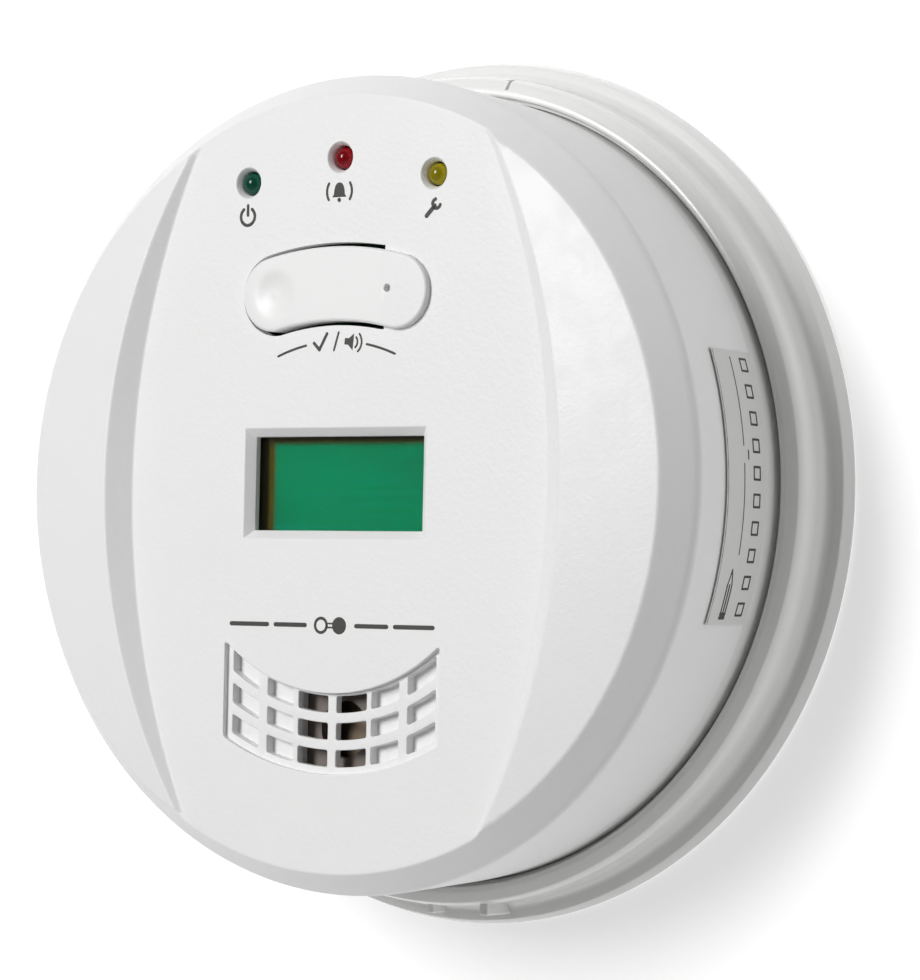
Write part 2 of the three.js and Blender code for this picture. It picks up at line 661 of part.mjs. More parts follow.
/** A flat plate against the end wall of the bay, across one or two cells. */
function contactPlate(side, from, to) {
  const middle = (cellHeightAt(from) + cellHeightAt(to)) / 2;
  const height = (to - from) * cellSpacing + 10;
  return block(contactThickness, height, cellDepth - 5, cellDepth + 5, side * contactX, middle);
}

/** A conical coil that presses on a cell's flat end. */
function contactSpring(index) {
  const side = -cellDirection(index);
  const cellEnd = Math.abs(cellCentreX(index) - cellDirection(index) * cellLength / 2);
  const start = contactX;
  const length = start - cellEnd - FIT - 0.4;
  const turns = 3;
  class Coil extends THREE.Curve {
    getPoint(t, target = new THREE.Vector3()) {
      const angle = t * turns * 2 * Math.PI;
      const radius = 4.2 - 1.8 * t;
      return target.set(side * (start - length * t), -cellDepth + radius * Math.cos(angle),
        cellHeightAt(index) + radius * Math.sin(angle));
    }
  }
  const wire = new THREE.Shape();
  wire.absarc(0, 0, 0.35, 0, 2 * Math.PI, false);
  const coil = new THREE.ExtrudeGeometry(wire, { steps: 36, curveSegments: 3, extrudePath: new Coil() });
  return solid(coil);
}

function buildPower() {
  for (let i = 0; i < cellCount; i += 1) addPiece(`battery_${i + 1}`, buildCell(i), materials.cellJacket);
  const tabs = contactTabs().map(({ x, z, w }) => block(w, 3.4, cellDepth, boardDepth - FIT, x, z));
  const first = cellDirection(0);
  const last = cellCount - 1;
  addPiece('contact_positive', contactPlate(first, 0, 0).add(tabs[0]), materials.steel);
  for (let i = 0; i < last; i += 1) {
    const side = -cellDirection(i);
    const name = side < 0 ? 'contact_bridge_left' : 'contact_bridge_right';
    addPiece(name, contactPlate(side, i, i + 1).add(contactSpring(i)), materials.steel);
  }
  const end = contactPlate(-cellDirection(last), last, last);
  addPiece('contact_negative', joined(end, tabs[1], contactSpring(last)), materials.steel);
}

// ---------------------------------------------------------------- fasteners and label

function buildHousingScrews() {
  bossAngles.forEach((angle, index) => {
    const { x, z } = onCircle(bossCircle, angle);
    const headFront = screwSeat - FIT;
    const head = drum(screwHeadRadius, headFront - screwHeadHeight, headFront, x, z, 24);
    const bars = [block(3.4, 0.8, 0, headFront - screwHeadHeight + 0.9, x, z),
      block(0.8, 3.4, 0, headFront - screwHeadHeight + 0.9, x, z)];
    const shank = drum(screwRadius, headFront - 0.3, 26, x, z, 16);
    addPiece(`housing_screw_${index + 1}`, cut(head, ...bars).add(shank), materials.steel);
  });
}

function buildDateLabel() {
  const skirtAt = (depth) => skirtRearRadius + (skirtDraft * (depth - partingDepth)) / (rimBack - partingDepth);
  const labelFront = labelRear + labelHeight;
  const inner = [labelRear, labelFront].map((depth) => [skirtAt(depth) + FIT, depth]);
  const outer = inner.map(([radius, depth]) => [radius + labelThickness, depth]);
  const ring = turned([inner[0], outer[0], outer[1], inner[1]]);
  const wedge = slab(ringSector(1, plateRadius, -labelHalfAngle, labelHalfAngle), labelRear - 1, labelFront + 1);
  addPiece('date_label', ring.intersect(wedge), materials.label);
}

// ---------------------------------------------------------------- assembly

addPiece('mounting_plate', buildMountingPlate(), materials.plateWhite);
addPiece('rear_housing', buildRearHousing(), materials.whitePlastic);
addPiece('front_cover', buildFrontCover(), materials.whitePlastic);
addPiece('test_button', buildTestButton(), materials.buttonWhite);
buildSwitch();
buildDisplay();
buildIndicators();
buildBoard();
buildSensor();
buildSounder();
buildPower();
buildHousingScrews();
buildDateLabel();

export default group;
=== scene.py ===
"""A battery carbon monoxide detector on its wall plate: meshes, finishes, lights and camera.

Sizes are in millimetres, and a depth is a distance from the wall towards the front. Blender's
objects are in metres, with +Z up and the front of the detector facing -Y.
"""

from __future__ import annotations

import json
import logging
import math
from collections.abc import Callable, Iterable, Sequence
from dataclasses import dataclass, field
from enum import Enum

import bmesh
import bpy
import numpy as np
from mathutils import Matrix, Vector
from mathutils.geometry import delaunay_2d_cdt

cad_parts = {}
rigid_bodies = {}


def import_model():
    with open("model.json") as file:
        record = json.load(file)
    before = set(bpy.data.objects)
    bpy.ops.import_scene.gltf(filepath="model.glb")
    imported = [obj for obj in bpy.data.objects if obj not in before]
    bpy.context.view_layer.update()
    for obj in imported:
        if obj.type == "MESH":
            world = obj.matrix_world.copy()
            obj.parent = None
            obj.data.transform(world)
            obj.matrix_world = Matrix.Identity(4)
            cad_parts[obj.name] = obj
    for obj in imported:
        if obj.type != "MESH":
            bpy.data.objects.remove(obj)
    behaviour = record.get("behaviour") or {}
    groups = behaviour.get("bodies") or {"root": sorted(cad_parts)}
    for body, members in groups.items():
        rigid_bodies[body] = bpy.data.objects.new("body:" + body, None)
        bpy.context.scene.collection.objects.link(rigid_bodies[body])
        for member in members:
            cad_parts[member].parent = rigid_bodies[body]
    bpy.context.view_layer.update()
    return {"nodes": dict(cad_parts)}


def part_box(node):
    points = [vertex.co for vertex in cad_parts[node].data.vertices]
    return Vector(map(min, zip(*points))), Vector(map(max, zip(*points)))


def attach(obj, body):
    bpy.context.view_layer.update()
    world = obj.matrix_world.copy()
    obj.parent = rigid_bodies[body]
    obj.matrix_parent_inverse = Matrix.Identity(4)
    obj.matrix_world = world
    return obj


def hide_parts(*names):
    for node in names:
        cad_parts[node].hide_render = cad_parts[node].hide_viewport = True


log = logging.getLogger("detector")

MM = 0.001
ROUND = 360  # points round a large turned edge
FIT = 0.3  # gap between pieces that rest on each other
HOOK_RADIUS = 48.0  # circle of the twist-lock hooks and of their slots
HOOK_TURNS = (90, 210, 330)
MIDDLE = Vector((0, 0))
DUST_COLOUR = (0.62, 0.6, 0.56, 1)
SURROUND_COLOUR = (0.86, 0.86, 0.86, 1)  # what the camera sees past the wall
Profile = Sequence[tuple[float, float]]
Placing = Callable[[float, float, float], Vector]
Socket = bpy.types.NodeSocket


class Body(Enum):
    """The bodies that pieces ride on."""

    WALL_PLATE = "wall_plate"
    ALARM = "alarm"
    BUTTON = "button"


class Slot(Enum):
    """Names of the record's material slots, passed along with the new pieces."""

    PLATE = "mounting_plate"
    WHITE = "white_plastic"
    BUTTON = "button_plastic"
    WINDOW = "clear_window"
    DISPLAY = "display_glass"
    GREEN = "led_green"
    RED = "led_red"
    YELLOW = "led_yellow"
    PAPER = "label_paper"
    BLACK = "black_plastic"


# ---------------------------------------------------------------- plane curves


@dataclass
class Outline:
    """A closed curve of x and z, anticlockwise as seen from the front."""

    points: list[Vector]

    def grown(self, distance: float) -> Outline:
        """Moves every point outwards along its own normal.

        Args:
            distance: how far, or inwards if negative.

        Returns:
            The new outline, with the same number of points.
        """
        moved = []
        count = len(self.points)
        for index, point in enumerate(self.points):
            before = (point - self.points[index - 1]).normalized()
            after = (self.points[(index + 1) % count] - point).normalized()
            out = Vector((before.y + after.y, -before.x - after.x)).normalized()
            stretch = 1 / max(0.5, out.dot(Vector((after.y, -after.x))))
            moved.append(point + out * distance * stretch)
        return Outline(moved)

    def shifted(self, x: float, z: float) -> Outline:
        """Returns the outline moved sideways and up."""
        return Outline([point + Vector((x, z)) for point in self.points])

    def holds(self, places: np.ndarray) -> np.ndarray:
        """Tells which places are inside the outline.

        Args:
            places: an array of x and z, one row each.

        Returns:
            An array of True and False, one for each row.
        """
        x, z = places[:, 0], places[:, 1]
        inside = np.zeros(len(places), bool)
        last = self.points[-1]
        for point in self.points:
            crosses = (point.y > z) != (last.y > z)
            rise = last.y - point.y
            if rise:
                at = (last.x - point.x) * (z - point.y) / rise + point.x
                inside ^= crosses & (x < at)
            last = point
        return inside


def spread(start: float, end: float, count: int) -> list[float]:
    """Returns count + 1 evenly spaced numbers from start to end."""
    return [start + (end - start) * index / count for index in range(count + 1)]


def arc(centre: Vector, radius: float, start: float, end: float, steps: int) -> list[Vector]:
    """Returns points along an arc; angles are in degrees from +X."""
    angles = [math.radians(angle) for angle in spread(start, end, steps)]
    return [centre + radius * Vector((math.cos(angle), math.sin(angle))) for angle in angles]


def circle(x: float, z: float, radius: float, steps: int = 48) -> Outline:
    """Returns a full circle."""
    return Outline(arc(Vector((x, z)), radius, 0, 360, steps)[:-1])


def bend(start: Vector, corner: Vector, end: Vector, steps: int = 6) -> list[Vector]:
    """Returns a smooth turn from start to end that leans towards the corner."""
    return [
        (1 - t) ** 2 * start + 2 * t * (1 - t) * corner + t**2 * end for t in spread(0, 1, steps)
    ]


def rounded_box(width: float, height: float, radius: float, steps: int = 5) -> Outline:
    """Makes a rectangle with round corners, centred on the middle.

    Args:
        width: its size across.
        height: its size up.
        radius: radius of its corners.
        steps: straight stretches round each corner.

    Returns:
        The rectangle's outline.
    """
    points = []
    for turn, (side, top) in enumerate(((1, 1), (-1, 1), (-1, -1), (1, -1))):
        centre = Vector((side * (width / 2 - radius), top * (height / 2 - radius)))
        points += arc(centre, radius, 90 * turn, 90 * turn + 90, steps)
    return Outline(points)


@dataclass(frozen=True)
class Fan:
    """Strips between two arcs that share a centre below and upright sides."""

    centre: float

    def strip(self, left: float, right: float, top: float, bottom: float, corner: float) -> Outline:
        """Makes one strip with round corners.

        Args:
            left: x of the left side.
            right: x of the right side.
            top: radius of the arc nearer the centre.
            bottom: radius of the arc further from it.
            corner: how far each round corner reaches.

        Returns:
            The strip's outline.
        """

        def at(radius: float, x: float) -> Vector:
            """Returns the place on an arc that is x to the right."""
            return Vector((x, self.centre - math.sqrt(radius**2 - x**2)))

        steps = max(2, round((right - left) / 0.7))
        inner = spread(left + corner, right - corner, steps)
        points = [at(bottom, x) for x in inner]
        points += bend(points.pop(), at(bottom, right), at(bottom, right) + Vector((0, corner)))
        up = at(top, right) - Vector((0, corner))
        points += bend(up, at(top, right), at(top, right - corner))[:-1]
        points += [at(top, x) for x in reversed(inner)]
        points += bend(points.pop(), at(top, left), at(top, left) - Vector((0, corner)))
        down = at(bottom, left) + Vector((0, corner))
        points += bend(down, at(bottom, left), at(bottom, left + corner))[:-1]
        return Outline(points)


# ---------------------------------------------------------------- edges in section


def lip(radius: float, depth: float, steps: int = 4) -> list[tuple[float, float]]:
    """Rounds the front edge of a hole: pairs of growth and depth, from the face inwards."""
    angles = [math.radians(angle) for angle in spread(0, 90, steps)]
    return [(radius * (1 - math.sin(a)), depth - radius * (1 - math.cos(a))) for a in angles]


def floor_turn(radius: float, depth: float, steps: int = 3) -> list[tuple[float, float]]:
    """Rounds the foot of a hole's wall into its floor."""
    angles = [math.radians(angle) for angle in spread(0, 90, steps)]
    return [(-radius * (1 - math.cos(a)), depth + radius * (1 - math.sin(a))) for a in angles]


def crown(radius: float, depth: float, steps: int = 5) -> list[tuple[float, float]]:
    """Rounds the front edge of a raised piece, from its face outwards and back."""
    angles = [math.radians(angle) for angle in spread(0, 90, steps)]
    return [(-radius * (1 - math.sin(a)), depth - radius * (1 - math.cos(a))) for a in angles]


def quadratic(start: tuple[float, float], corner: tuple[float, float], end: tuple[float, float],
              steps: int = 8) -> list[tuple[float, float]]:
    """Returns a curved stretch of a turned profile as pairs of radius and depth."""
    return [tuple(p) for p in bend(Vector(start), Vector(corner), Vector(end), steps)]


# ---------------------------------------------------------------- meshes


def facing_front(x: float, z: float, depth: float) -> Vector:
    """Places a point of a flat drawing on the detector."""
    return Vector((x, -depth, z))


@dataclass
class Shell:
    """A mesh in the making, in millimetres, as loops joined by strips and sheets."""

    place: Placing = facing_front
    points: list[Vector] = field(default_factory=list)
    faces: list[tuple[int, ...]] = field(default_factory=list)

    def loop(self, outline: Outline, depth: float) -> list[int]:
        """Adds an outline's points at one depth.

        Args:
            outline: the points to add.
            depth: how deep they lie.

        Returns:
            The points' numbers.
        """
        first = len(self.points)
        self.points += [self.place(p.x, p.y, depth) for p in outline.points]
        return list(range(first, len(self.points)))

    def strip(self, first: list[int], second: list[int]) -> None:
        """Joins two loops that have the same number of points."""
        for index in range(len(first)):
            a, b = first[index - 1], first[index]
            self.faces.append((a, b, second[index], second[index - 1]))

    def wall(self, outline: Outline, section: Profile,
             start: list[int] | None = None) -> list[list[int]]:
        """Adds loops of one outline, each with its own growth and depth, and joins them.

        Args:
            outline: the curve that the section follows.
            section: pairs of growth and depth.
            start: a loop to begin from, where there is one already.

        Returns:
            The loops, first to last.
        """
        loops = [] if start is None else [start]
        for growth, depth in section:
            loops.append(self.loop(outline.grown(growth), depth))
        for first, second in zip(loops, loops[1:]):
            self.strip(first, second)
        return loops

    def turned(self, profile: Profile, x: float = 0, z: float = 0, steps: int = ROUND,
               start: list[int] | None = None) -> list[list[int]]:
        """Adds rings round an axis that runs front to back.

        Args:
            profile: pairs of radius and depth.
            x: the axis's place across.
            z: the axis's height.
            steps: points in each ring.
            start: a ring to begin from, where there is one already.

        Returns:
            The rings, first to last.
        """
        rings = [] if start is None else [start]
        for radius, depth in profile:
            rings.append(self.loop(circle(x, z, radius, steps), depth))
        for first, second in zip(rings, rings[1:]):
            self.strip(first, second)
        return rings

    def sheet(self, edge: list[int], holes: Sequence[list[int]] = (), inner: Iterable[Vector] = (),
              height: Callable[[float, float], float] | None = None) -> None:
        """Fills the space inside a loop, leaving holes open.

        Args:
            edge: the outer loop.
            holes: loops inside it that stay open.
            inner: further places inside, as x and z.
            height: depth of the sheet at an inner place.
        """
        numbers, flat, links = [], [], []
        for ring in (edge, *holes):
            start = len(flat)
            numbers += ring
            flat += [Vector((self.points[i].x, self.points[i].z)) for i in ring]
            links += [(start + i, start + (i + 1) % len(ring)) for i in range(len(ring))]
        for place in inner:
            numbers.append(len(self.points))
            self.points.append(self.place(place.x, place.y, height(place.x, place.y)))
            flat.append(place)
        rim = Outline(flat[: len(edge)])
        gaps, start = [], len(edge)
        for ring in holes:
            gaps.append(Outline(flat[start : start + len(ring)]))
            start += len(ring)
        found, _, triangles, origins, _, _ = delaunay_2d_cdt(flat, links, [], 1, 1e-7)
        names = []
        for place, origin in zip(found, origins):
            near = origin[0] if origin else min(range(len(flat)), key=lambda i: (flat[i] - place).length)
            names.append(numbers[near])
        middles = np.array([sum((found[i] for i in t), Vector((0, 0))) / 3 for t in triangles])
        keep = rim.holds(middles)
        for gap in gaps:
            keep &= ~gap.holds(middles)
        for triangle, kept in zip(triangles, keep):
            if kept:
                self.faces.append(tuple(names[i] for i in triangle))

    def cap(self, edge: list[int]) -> None:
        """Closes a loop with one face."""
        self.faces.append(tuple(edge))

    def piece(self, name: str, crease: float = 32) -> bpy.types.Object:
        """Turns the shell into an object.

        Args:
            name: the object's name.
            crease: edges sharper than this many degrees stay sharp.

        Returns:
            The new object, with its faces turned outwards.
        """
        mesh = bpy.data.meshes.new(name)
        mesh.from_pydata([tuple(p * MM) for p in self.points], [], self.faces)
        piece = bpy.data.objects.new(name, mesh)
        bpy.context.scene.collection.objects.link(piece)
        tidy(piece, crease)
        return piece


def tidy(piece: bpy.types.Object, crease: float = 32) -> None:
    """Merges doubles, turns faces outwards, drops loose points and sets the shading.

    Args:
        piece: the object whose mesh is tidied.
        crease: edges sharper than this many degrees stay sharp.
    """
    mesh = piece.data
    bm = bmesh.new()
    bm.from_mesh(mesh)
    bmesh.ops.remove_doubles(bm, verts=bm.verts, dist=1e-7)
    bmesh.ops.dissolve_degenerate(bm, edges=bm.edges, dist=1e-8)
    bmesh.ops.recalc_face_normals(bm, faces=bm.faces)
    loose = [vertex for vertex in bm.verts if not vertex.link_faces]
    bmesh.ops.delete(bm, geom=loose, context="VERTS")
    bm.to_mesh(mesh)
    bm.free()
    mesh.shade_smooth()
    mesh.set_sharp_from_angle(angle=math.radians(crease))
    if "even_shading" not in piece.modifiers:
        weighted = piece.modifiers.new("even_shading", "WEIGHTED_NORMAL")
        weighted.keep_sharp = True
        weighted.weight = 80


def shaped(piece: bpy.types.Object, tools: Sequence[bpy.types.Object], operation: str) -> None:
    """Cuts tools out of a piece or joins them to it, and removes the tools.

    Args:
        piece: the object that is changed.
        tools: closed meshes.
        operation: DIFFERENCE or UNION.
    """
    for tool in tools:
        step = piece.modifiers.new("shape", "BOOLEAN")
        step.object = tool
        step.operation = operation
        step.solver = "EXACT"
        bpy.context.view_layer.update()
        graph = bpy.context.evaluated_depsgraph_get()
        made = bpy.data.meshes.new_from_object(piece.evaluated_get(graph))
        piece.modifiers.remove(step)
        piece.data = made
        bpy.data.objects.remove(tool)


def merged(name: str, pieces: Sequence[bpy.types.Object], crease: float = 32) -> bpy.types.Object:
    """Gathers several closed meshes into one object.

    Args:
        name: the new object's name.
        pieces: the objects, which are removed.
        crease: edges sharper than this many degrees stay sharp.

    Returns:
        The new object.
    """
    bm = bmesh.new()
    for piece in pieces:
        bm.from_mesh(piece.data)
        bpy.data.objects.remove(piece)
    mesh = bpy.data.meshes.new(name)
    bm.to_mesh(mesh)
    bm.free()
    whole = bpy.data.objects.new(name, mesh)
    bpy.context.scene.collection.objects.link(whole)
    tidy(whole, crease)
    return whole


def slab(name: str, outline: Outline, back: float, front: float, edge: float = 0.15,
         place: Placing = facing_front) -> bpy.types.Object:
    """Makes a flat piece with rounded edges.

    Args:
        name: the object's name.
        outline: its shape from the front.
        back: depth of its rear face.
        front: depth of its front face.
        edge: radius of its edges.
        place: puts a flat point on the detector.

    Returns:
        The new object.
    """
    shell = Shell(place)
    rear = [(growth, back + front - depth) for growth, depth in reversed(crown(edge, front, 3))]
    loops = shell.wall(outline, crown(edge, front, 3) + rear)
    shell.cap(loops[0])
    shell.cap(loops[-1])
    return shell.piece(name)


# ---------------------------------------------------------------- the frame's own sizes


@dataclass(frozen=True)
class Frame:
    """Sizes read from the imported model, in millimetres."""

    plate_radius: float
    rim_radius: float
    housing_radius: float
    housing_back: float
    button_front: float
    button_foot: float
    button_hinge: float
    lens_half: tuple[float, float]
    lens_front: float
    label_depths: tuple[float, float]
    indicators: dict[str, tuple[float, float]]
    indicator_tip: float
    board_front: float

    @classmethod
    def read(cls) -> Frame:
        def low(node: str) -> Vector:
            """Returns the least corner of a node's box."""
            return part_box(node)[0] / MM

        def high(node: str) -> Vector:
            """Returns the greatest corner of a node's box."""
            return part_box(node)[1] / MM

        leds = {}
        for kind in ("power", "alarm", "fault"):
            middle = middle_of(f"led_{kind}")
            leds[kind] = (middle.x, middle.z)
        lens = (high("lcd_window") - low("lcd_window")) / 2
        return cls(
            plate_radius=high("mounting_plate").x,
            rim_radius=high("front_cover").x,
            housing_radius=high("rear_housing").x,
            housing_back=-high("rear_housing").y,
            button_front=-low("test_button").y,
            button_foot=-high("test_button").y,
            button_hinge=high("test_button").x + FIT / 2,
            lens_half=(lens.x, lens.z),
            lens_front=-low("lcd_window").y,
            label_depths=(-high("date_label").y, -low("date_label").y),
            indicators=leds,
            indicator_tip=-low("led_alarm").y,
            board_front=-low("circuit_board").y,
        )


def middle_of(node: str) -> Vector:
    """Returns the middle of a node's box."""
    low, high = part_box(node)
    return (low + high) / 2 / MM


# ---------------------------------------------------------------- shader helpers


class Tree:
    """Adds and joins the nodes of one shader tree."""

    def __init__(self, tree: bpy.types.NodeTree) -> None:
        """Keeps the tree."""
        self.tree = tree

    def add(self, kind: str, settings: dict[str, object] | None = None,
            **inputs: object) -> bpy.types.Node:
        """Adds a node.

        Args:
            kind: the node's type, without its Shader prefix.
            settings: values of the node's own properties.
            **inputs: sockets by name, with _ for a space, each a value or an output to join.

        Returns:
            The node.
        """
        node = self.tree.nodes.new(f"ShaderNode{kind}")
        for name, value in (settings or {}).items():
            setattr(node, name, value)
        for name, value in inputs.items():
            socket = next(s for s in node.inputs if s.enabled and s.name == name.replace("_", " "))
            self.feed(socket, value)
        return node

    def feed(self, socket: Socket, value: object) -> None:
        """Joins an output to a socket, or sets the socket's value."""
        if isinstance(value, bpy.types.NodeSocket):
            self.tree.links.new(value, socket)
        else:
            socket.default_value = value

    def maths(self, operation: str, *values: object) -> Socket:
        """Adds a Math node.

        Args:
            operation: what it does.
            *values: up to three numbers or outputs.

        Returns:
            The node's output.
        """
        node = self.tree.nodes.new("ShaderNodeMath")
        node.operation = operation
        for socket, value in zip(node.inputs, values):
            self.feed(socket, value)
        return node.outputs[0]

    def blend(self, factor: object, first: object, second: object) -> Socket:
        """Mixes two colours.

        Args:
            factor: the second colour's share.
            first: one colour.
            second: the other.

        Returns:
            The colour between them.
        """
        node = self.tree.nodes.new("ShaderNodeMix")
        node.data_type = "RGBA"
        for index, value in ((0, factor), (6, first), (7, second)):
            self.feed(node.inputs[index], value)
        return node.outputs[2]

    def ramp(self, value: object, low: float, high: float, start: float = 0.0,
             end: float = 1.0) -> Socket:
        """Moves a value smoothly from one range to another.

        Args:
            value: the number or output to move.
            low: where the first range starts.
            high: where it ends.
            start: what low becomes.
            end: what high becomes.

        Returns:
            The moved value.
        """
        node = self.add("MapRange", {"interpolation_type": "SMOOTHSTEP"}, Value=value)
        for name, number in (("From Min", low), ("From Max", high), ("To Min", start), ("To Max", end)):
            node.inputs[name].default_value = number
        return node.outputs[0]


def group(name: str, inputs: dict[str, float | None],
          outputs: dict[str, str]) -> tuple[Tree, object, object]:
    """Starts a shader node group.

    Args:
        name: the group's name.
        inputs: input names with their first values, None for a place in space.
        outputs: output names with their socket types.

    Returns:
        The group's tree, its input node's outputs and its output node's inputs.
    """
    made = bpy.data.node_groups.new(name, "ShaderNodeTree")
    for label, value in inputs.items():
        kind = "NodeSocketVector" if value is None else "NodeSocketFloat"
        socket = made.interface.new_socket(name=label, in_out="INPUT", socket_type=kind)
        if value is not None:
            socket.default_value = value
    for label, kind in outputs.items():
        made.interface.new_socket(name=label, in_out="OUTPUT", socket_type=kind)
    entry = made.nodes.new("NodeGroupInput")
    leave = made.nodes.new("NodeGroupOutput")
    return Tree(made), entry.outputs, leave.inputs


def spark_grain() -> bpy.types.NodeTree:
    """Builds the pitted grain of a spark-eroded mould.

    Returns:
        A group that puts out the height of the grain.
    """
    tree, given, out = group(
        "spark_grain", {"Place": None, "Scale": 1500.0, "Coarse": 0.5}, {"Height": "NodeSocketFloat"}
    )
    fine = tree.add("TexNoise", Vector=given["Place"], Scale=given["Scale"], Detail=3.0,
                    Roughness=0.6)
    wide_scale = tree.maths("MULTIPLY", given["Scale"], 0.42)
    pits = tree.add("TexVoronoi", {"feature": "SMOOTH_F1"}, Vector=given["Place"], Scale=wide_scale,
                    Smoothness=0.6)
    pit = tree.maths("MULTIPLY", pits.outputs["Distance"], given["Coarse"])
    tree.feed(out["Height"], tree.maths("ADD", fine.outputs[0], pit))
    return tree.tree


def tone_drift() -> bpy.types.NodeTree:
    """Builds the slow unevenness of a moulded or printed surface.

    Returns:
        A group that puts out a mask for colour and another for gloss.
    """
    tree, given, out = group(
        "tone_drift", {"Place": None, "Scale": 40.0},
        {"Tone": "NodeSocketFloat", "Gloss": "NodeSocketFloat"},
    )
    slow = tree.add("TexNoise", Vector=given["Place"], Scale=given["Scale"], Detail=2.0)
    smear_scale = tree.maths("MULTIPLY", given["Scale"], 5.0)
    smear = tree.add("TexNoise", Vector=given["Place"], Scale=smear_scale, Detail=4.0, Distortion=0.6)
    tree.feed(out["Tone"], tree.ramp(slow.outputs[0], 0.3, 0.7))
    tree.feed(out["Gloss"], tree.ramp(smear.outputs[0], 0.35, 0.68))
    return tree.tree


def settled_dust() -> bpy.types.NodeTree:
    """Builds the thin dust that settles on faces that look upwards.

    Returns:
        A group that puts out a mask of the dust.
    """
    tree, given, out = group(
        "settled_dust", {"Place": None, "Amount": 0.1}, {"Mask": "NodeSocketFloat"}
    )
    facing = tree.add("NewGeometry")
    split = tree.add("SeparateXYZ", Vector=facing.outputs["True Normal"])
    upward = tree.ramp(split.outputs["Z"], 0.25, 0.95)
    patches = tree.add("TexNoise", Vector=given["Place"], Scale=260.0, Detail=5.0, Roughness=0.7)
    patchy = tree.ramp(patches.outputs[0], 0.35, 0.7)
    dusty = tree.maths("MULTIPLY", upward, patchy)
    tree.feed(out["Mask"], tree.maths("MULTIPLY", dusty, given["Amount"]))
    return tree.tree


@dataclass(frozen=True)
class Effects:
    """The shader groups that the finishes share."""

    grain: bpy.types.NodeTree
    drift: bpy.types.NodeTree
    dust: bpy.types.NodeTree

    @classmethod
    def build(cls) -> Effects:
        """Returns the groups, built once."""
        return cls(spark_grain(), tone_drift(), settled_dust())


@dataclass(frozen=True)
class Finish:
    """A surface: its colour, its gloss, and how uneven both are."""

    name: str
    colour: tuple[float, float, float]
    roughness: float
    metallic: float = 0.0
    grain: float = 0.0  # depth of the grain, in millimetres
    scale: float = 1500.0  # grain cells in a metre
    coarse: float = 0.5
    drift: float = 0.03  # how much darker the colour drifts
    gloss_drift: float = 0.06
    dust: float = 0.0
    coat: float = 0.0
    coat_roughness: float = 0.06
    specular: float = 0.5
    subsurface: float = 0.0
    light_reach: float = 1.2  # how far light spreads under the surface, in millimetres

    def material(self, effects: Effects) -> bpy.types.Material:
        """Builds the material.

        Args:
            effects: the shared shader groups.

        Returns:
            The new material.
        """
        material = bpy.data.materials.new(self.name)
        material.use_nodes = True
        tree = Tree(material.node_tree)
        shader = material.node_tree.nodes["Principled BSDF"]
        place = tree.add("TexCoord").outputs["Object"]
        drift = tree.add("Group", {"node_tree": effects.drift}, Place=place)
        base = (*self.colour, 1)
        low = (*[c * (1 - self.drift) for c in self.colour], 1)
        colour = tree.blend(drift.outputs["Tone"], base, low)
        if self.dust:
            dust = tree.add("Group", {"node_tree": effects.dust}, Place=place, Amount=self.dust)
            colour = tree.blend(dust.outputs["Mask"], colour, DUST_COLOUR)
        tree.feed(shader.inputs["Base Color"], self.marked(tree, place, colour))
        rough = tree.maths("MULTIPLY_ADD", drift.outputs["Gloss"], self.gloss_drift, self.roughness)
        tree.feed(shader.inputs["Roughness"], rough)
        shader.inputs["Metallic"].default_value = self.metallic
        shader.inputs["Specular IOR Level"].default_value = self.specular
        shader.inputs["Coat Weight"].default_value = self.coat
        shader.inputs["Coat Roughness"].default_value = self.coat_roughness
        shader.inputs["Subsurface Weight"].default_value = self.subsurface
        shader.inputs["Subsurface Radius"].default_value = [self.light_reach * MM] * 3
        shader.inputs["Subsurface Scale"].default_value = 1.0
        if self.grain:
            grain = tree.add("Group", {"node_tree": effects.grain}, Place=place, Scale=self.scale,
                             Coarse=self.coarse)
            bump = tree.add("Bump", Strength=1.0, Distance=self.grain * MM,
                            Height=grain.outputs["Height"])
            tree.feed(shader.inputs["Normal"], bump.outputs[0])
        return material

    def marked(self, tree: Tree, place: Socket, colour: Socket) -> Socket:
        """Returns the colour with this finish's own markings, of which a plain one has none."""
        return colour


@dataclass(frozen=True)
class BoardFinish(Finish):
    """Solder mask over a pattern of copper tracks."""

    def marked(self, tree: Tree, place: Socket, colour: Socket) -> Socket:
        """Adds lighter tracks where copper runs under the mask.

        Args:
            tree: the material's tree.
            place: the place on the surface.
            colour: the plain colour.

        Returns:
            The colour with its tracks.
        """
        cells = tree.add("TexVoronoi", {"distance": "MANHATTAN"}, Vector=place, Scale=320.0)
        track = tree.ramp(cells.outputs["Distance"], 0.42, 0.5)
        return tree.blend(track, colour, (0.05, 0.24, 0.09, 1))


@dataclass(frozen=True)
class CellFinish(Finish):
    """A battery's jacket, with fine streaks."""

    def marked(self, tree: Tree, place: Socket, colour: Socket) -> Socket:
        """Adds fine streaks to the jacket.

        Args:
            tree: the material's tree.
            place: the place on the surface.
            colour: the plain colour.

        Returns:
            The colour with its streaks.
        """
        streaks = tree.add("TexNoise", Vector=place, Scale=90.0, Detail=3.0, Distortion=2.0)
        return tree.blend(tree.ramp(streaks.outputs[0], 0.4, 0.7), colour, (0.24, 0.26, 0.28, 1))


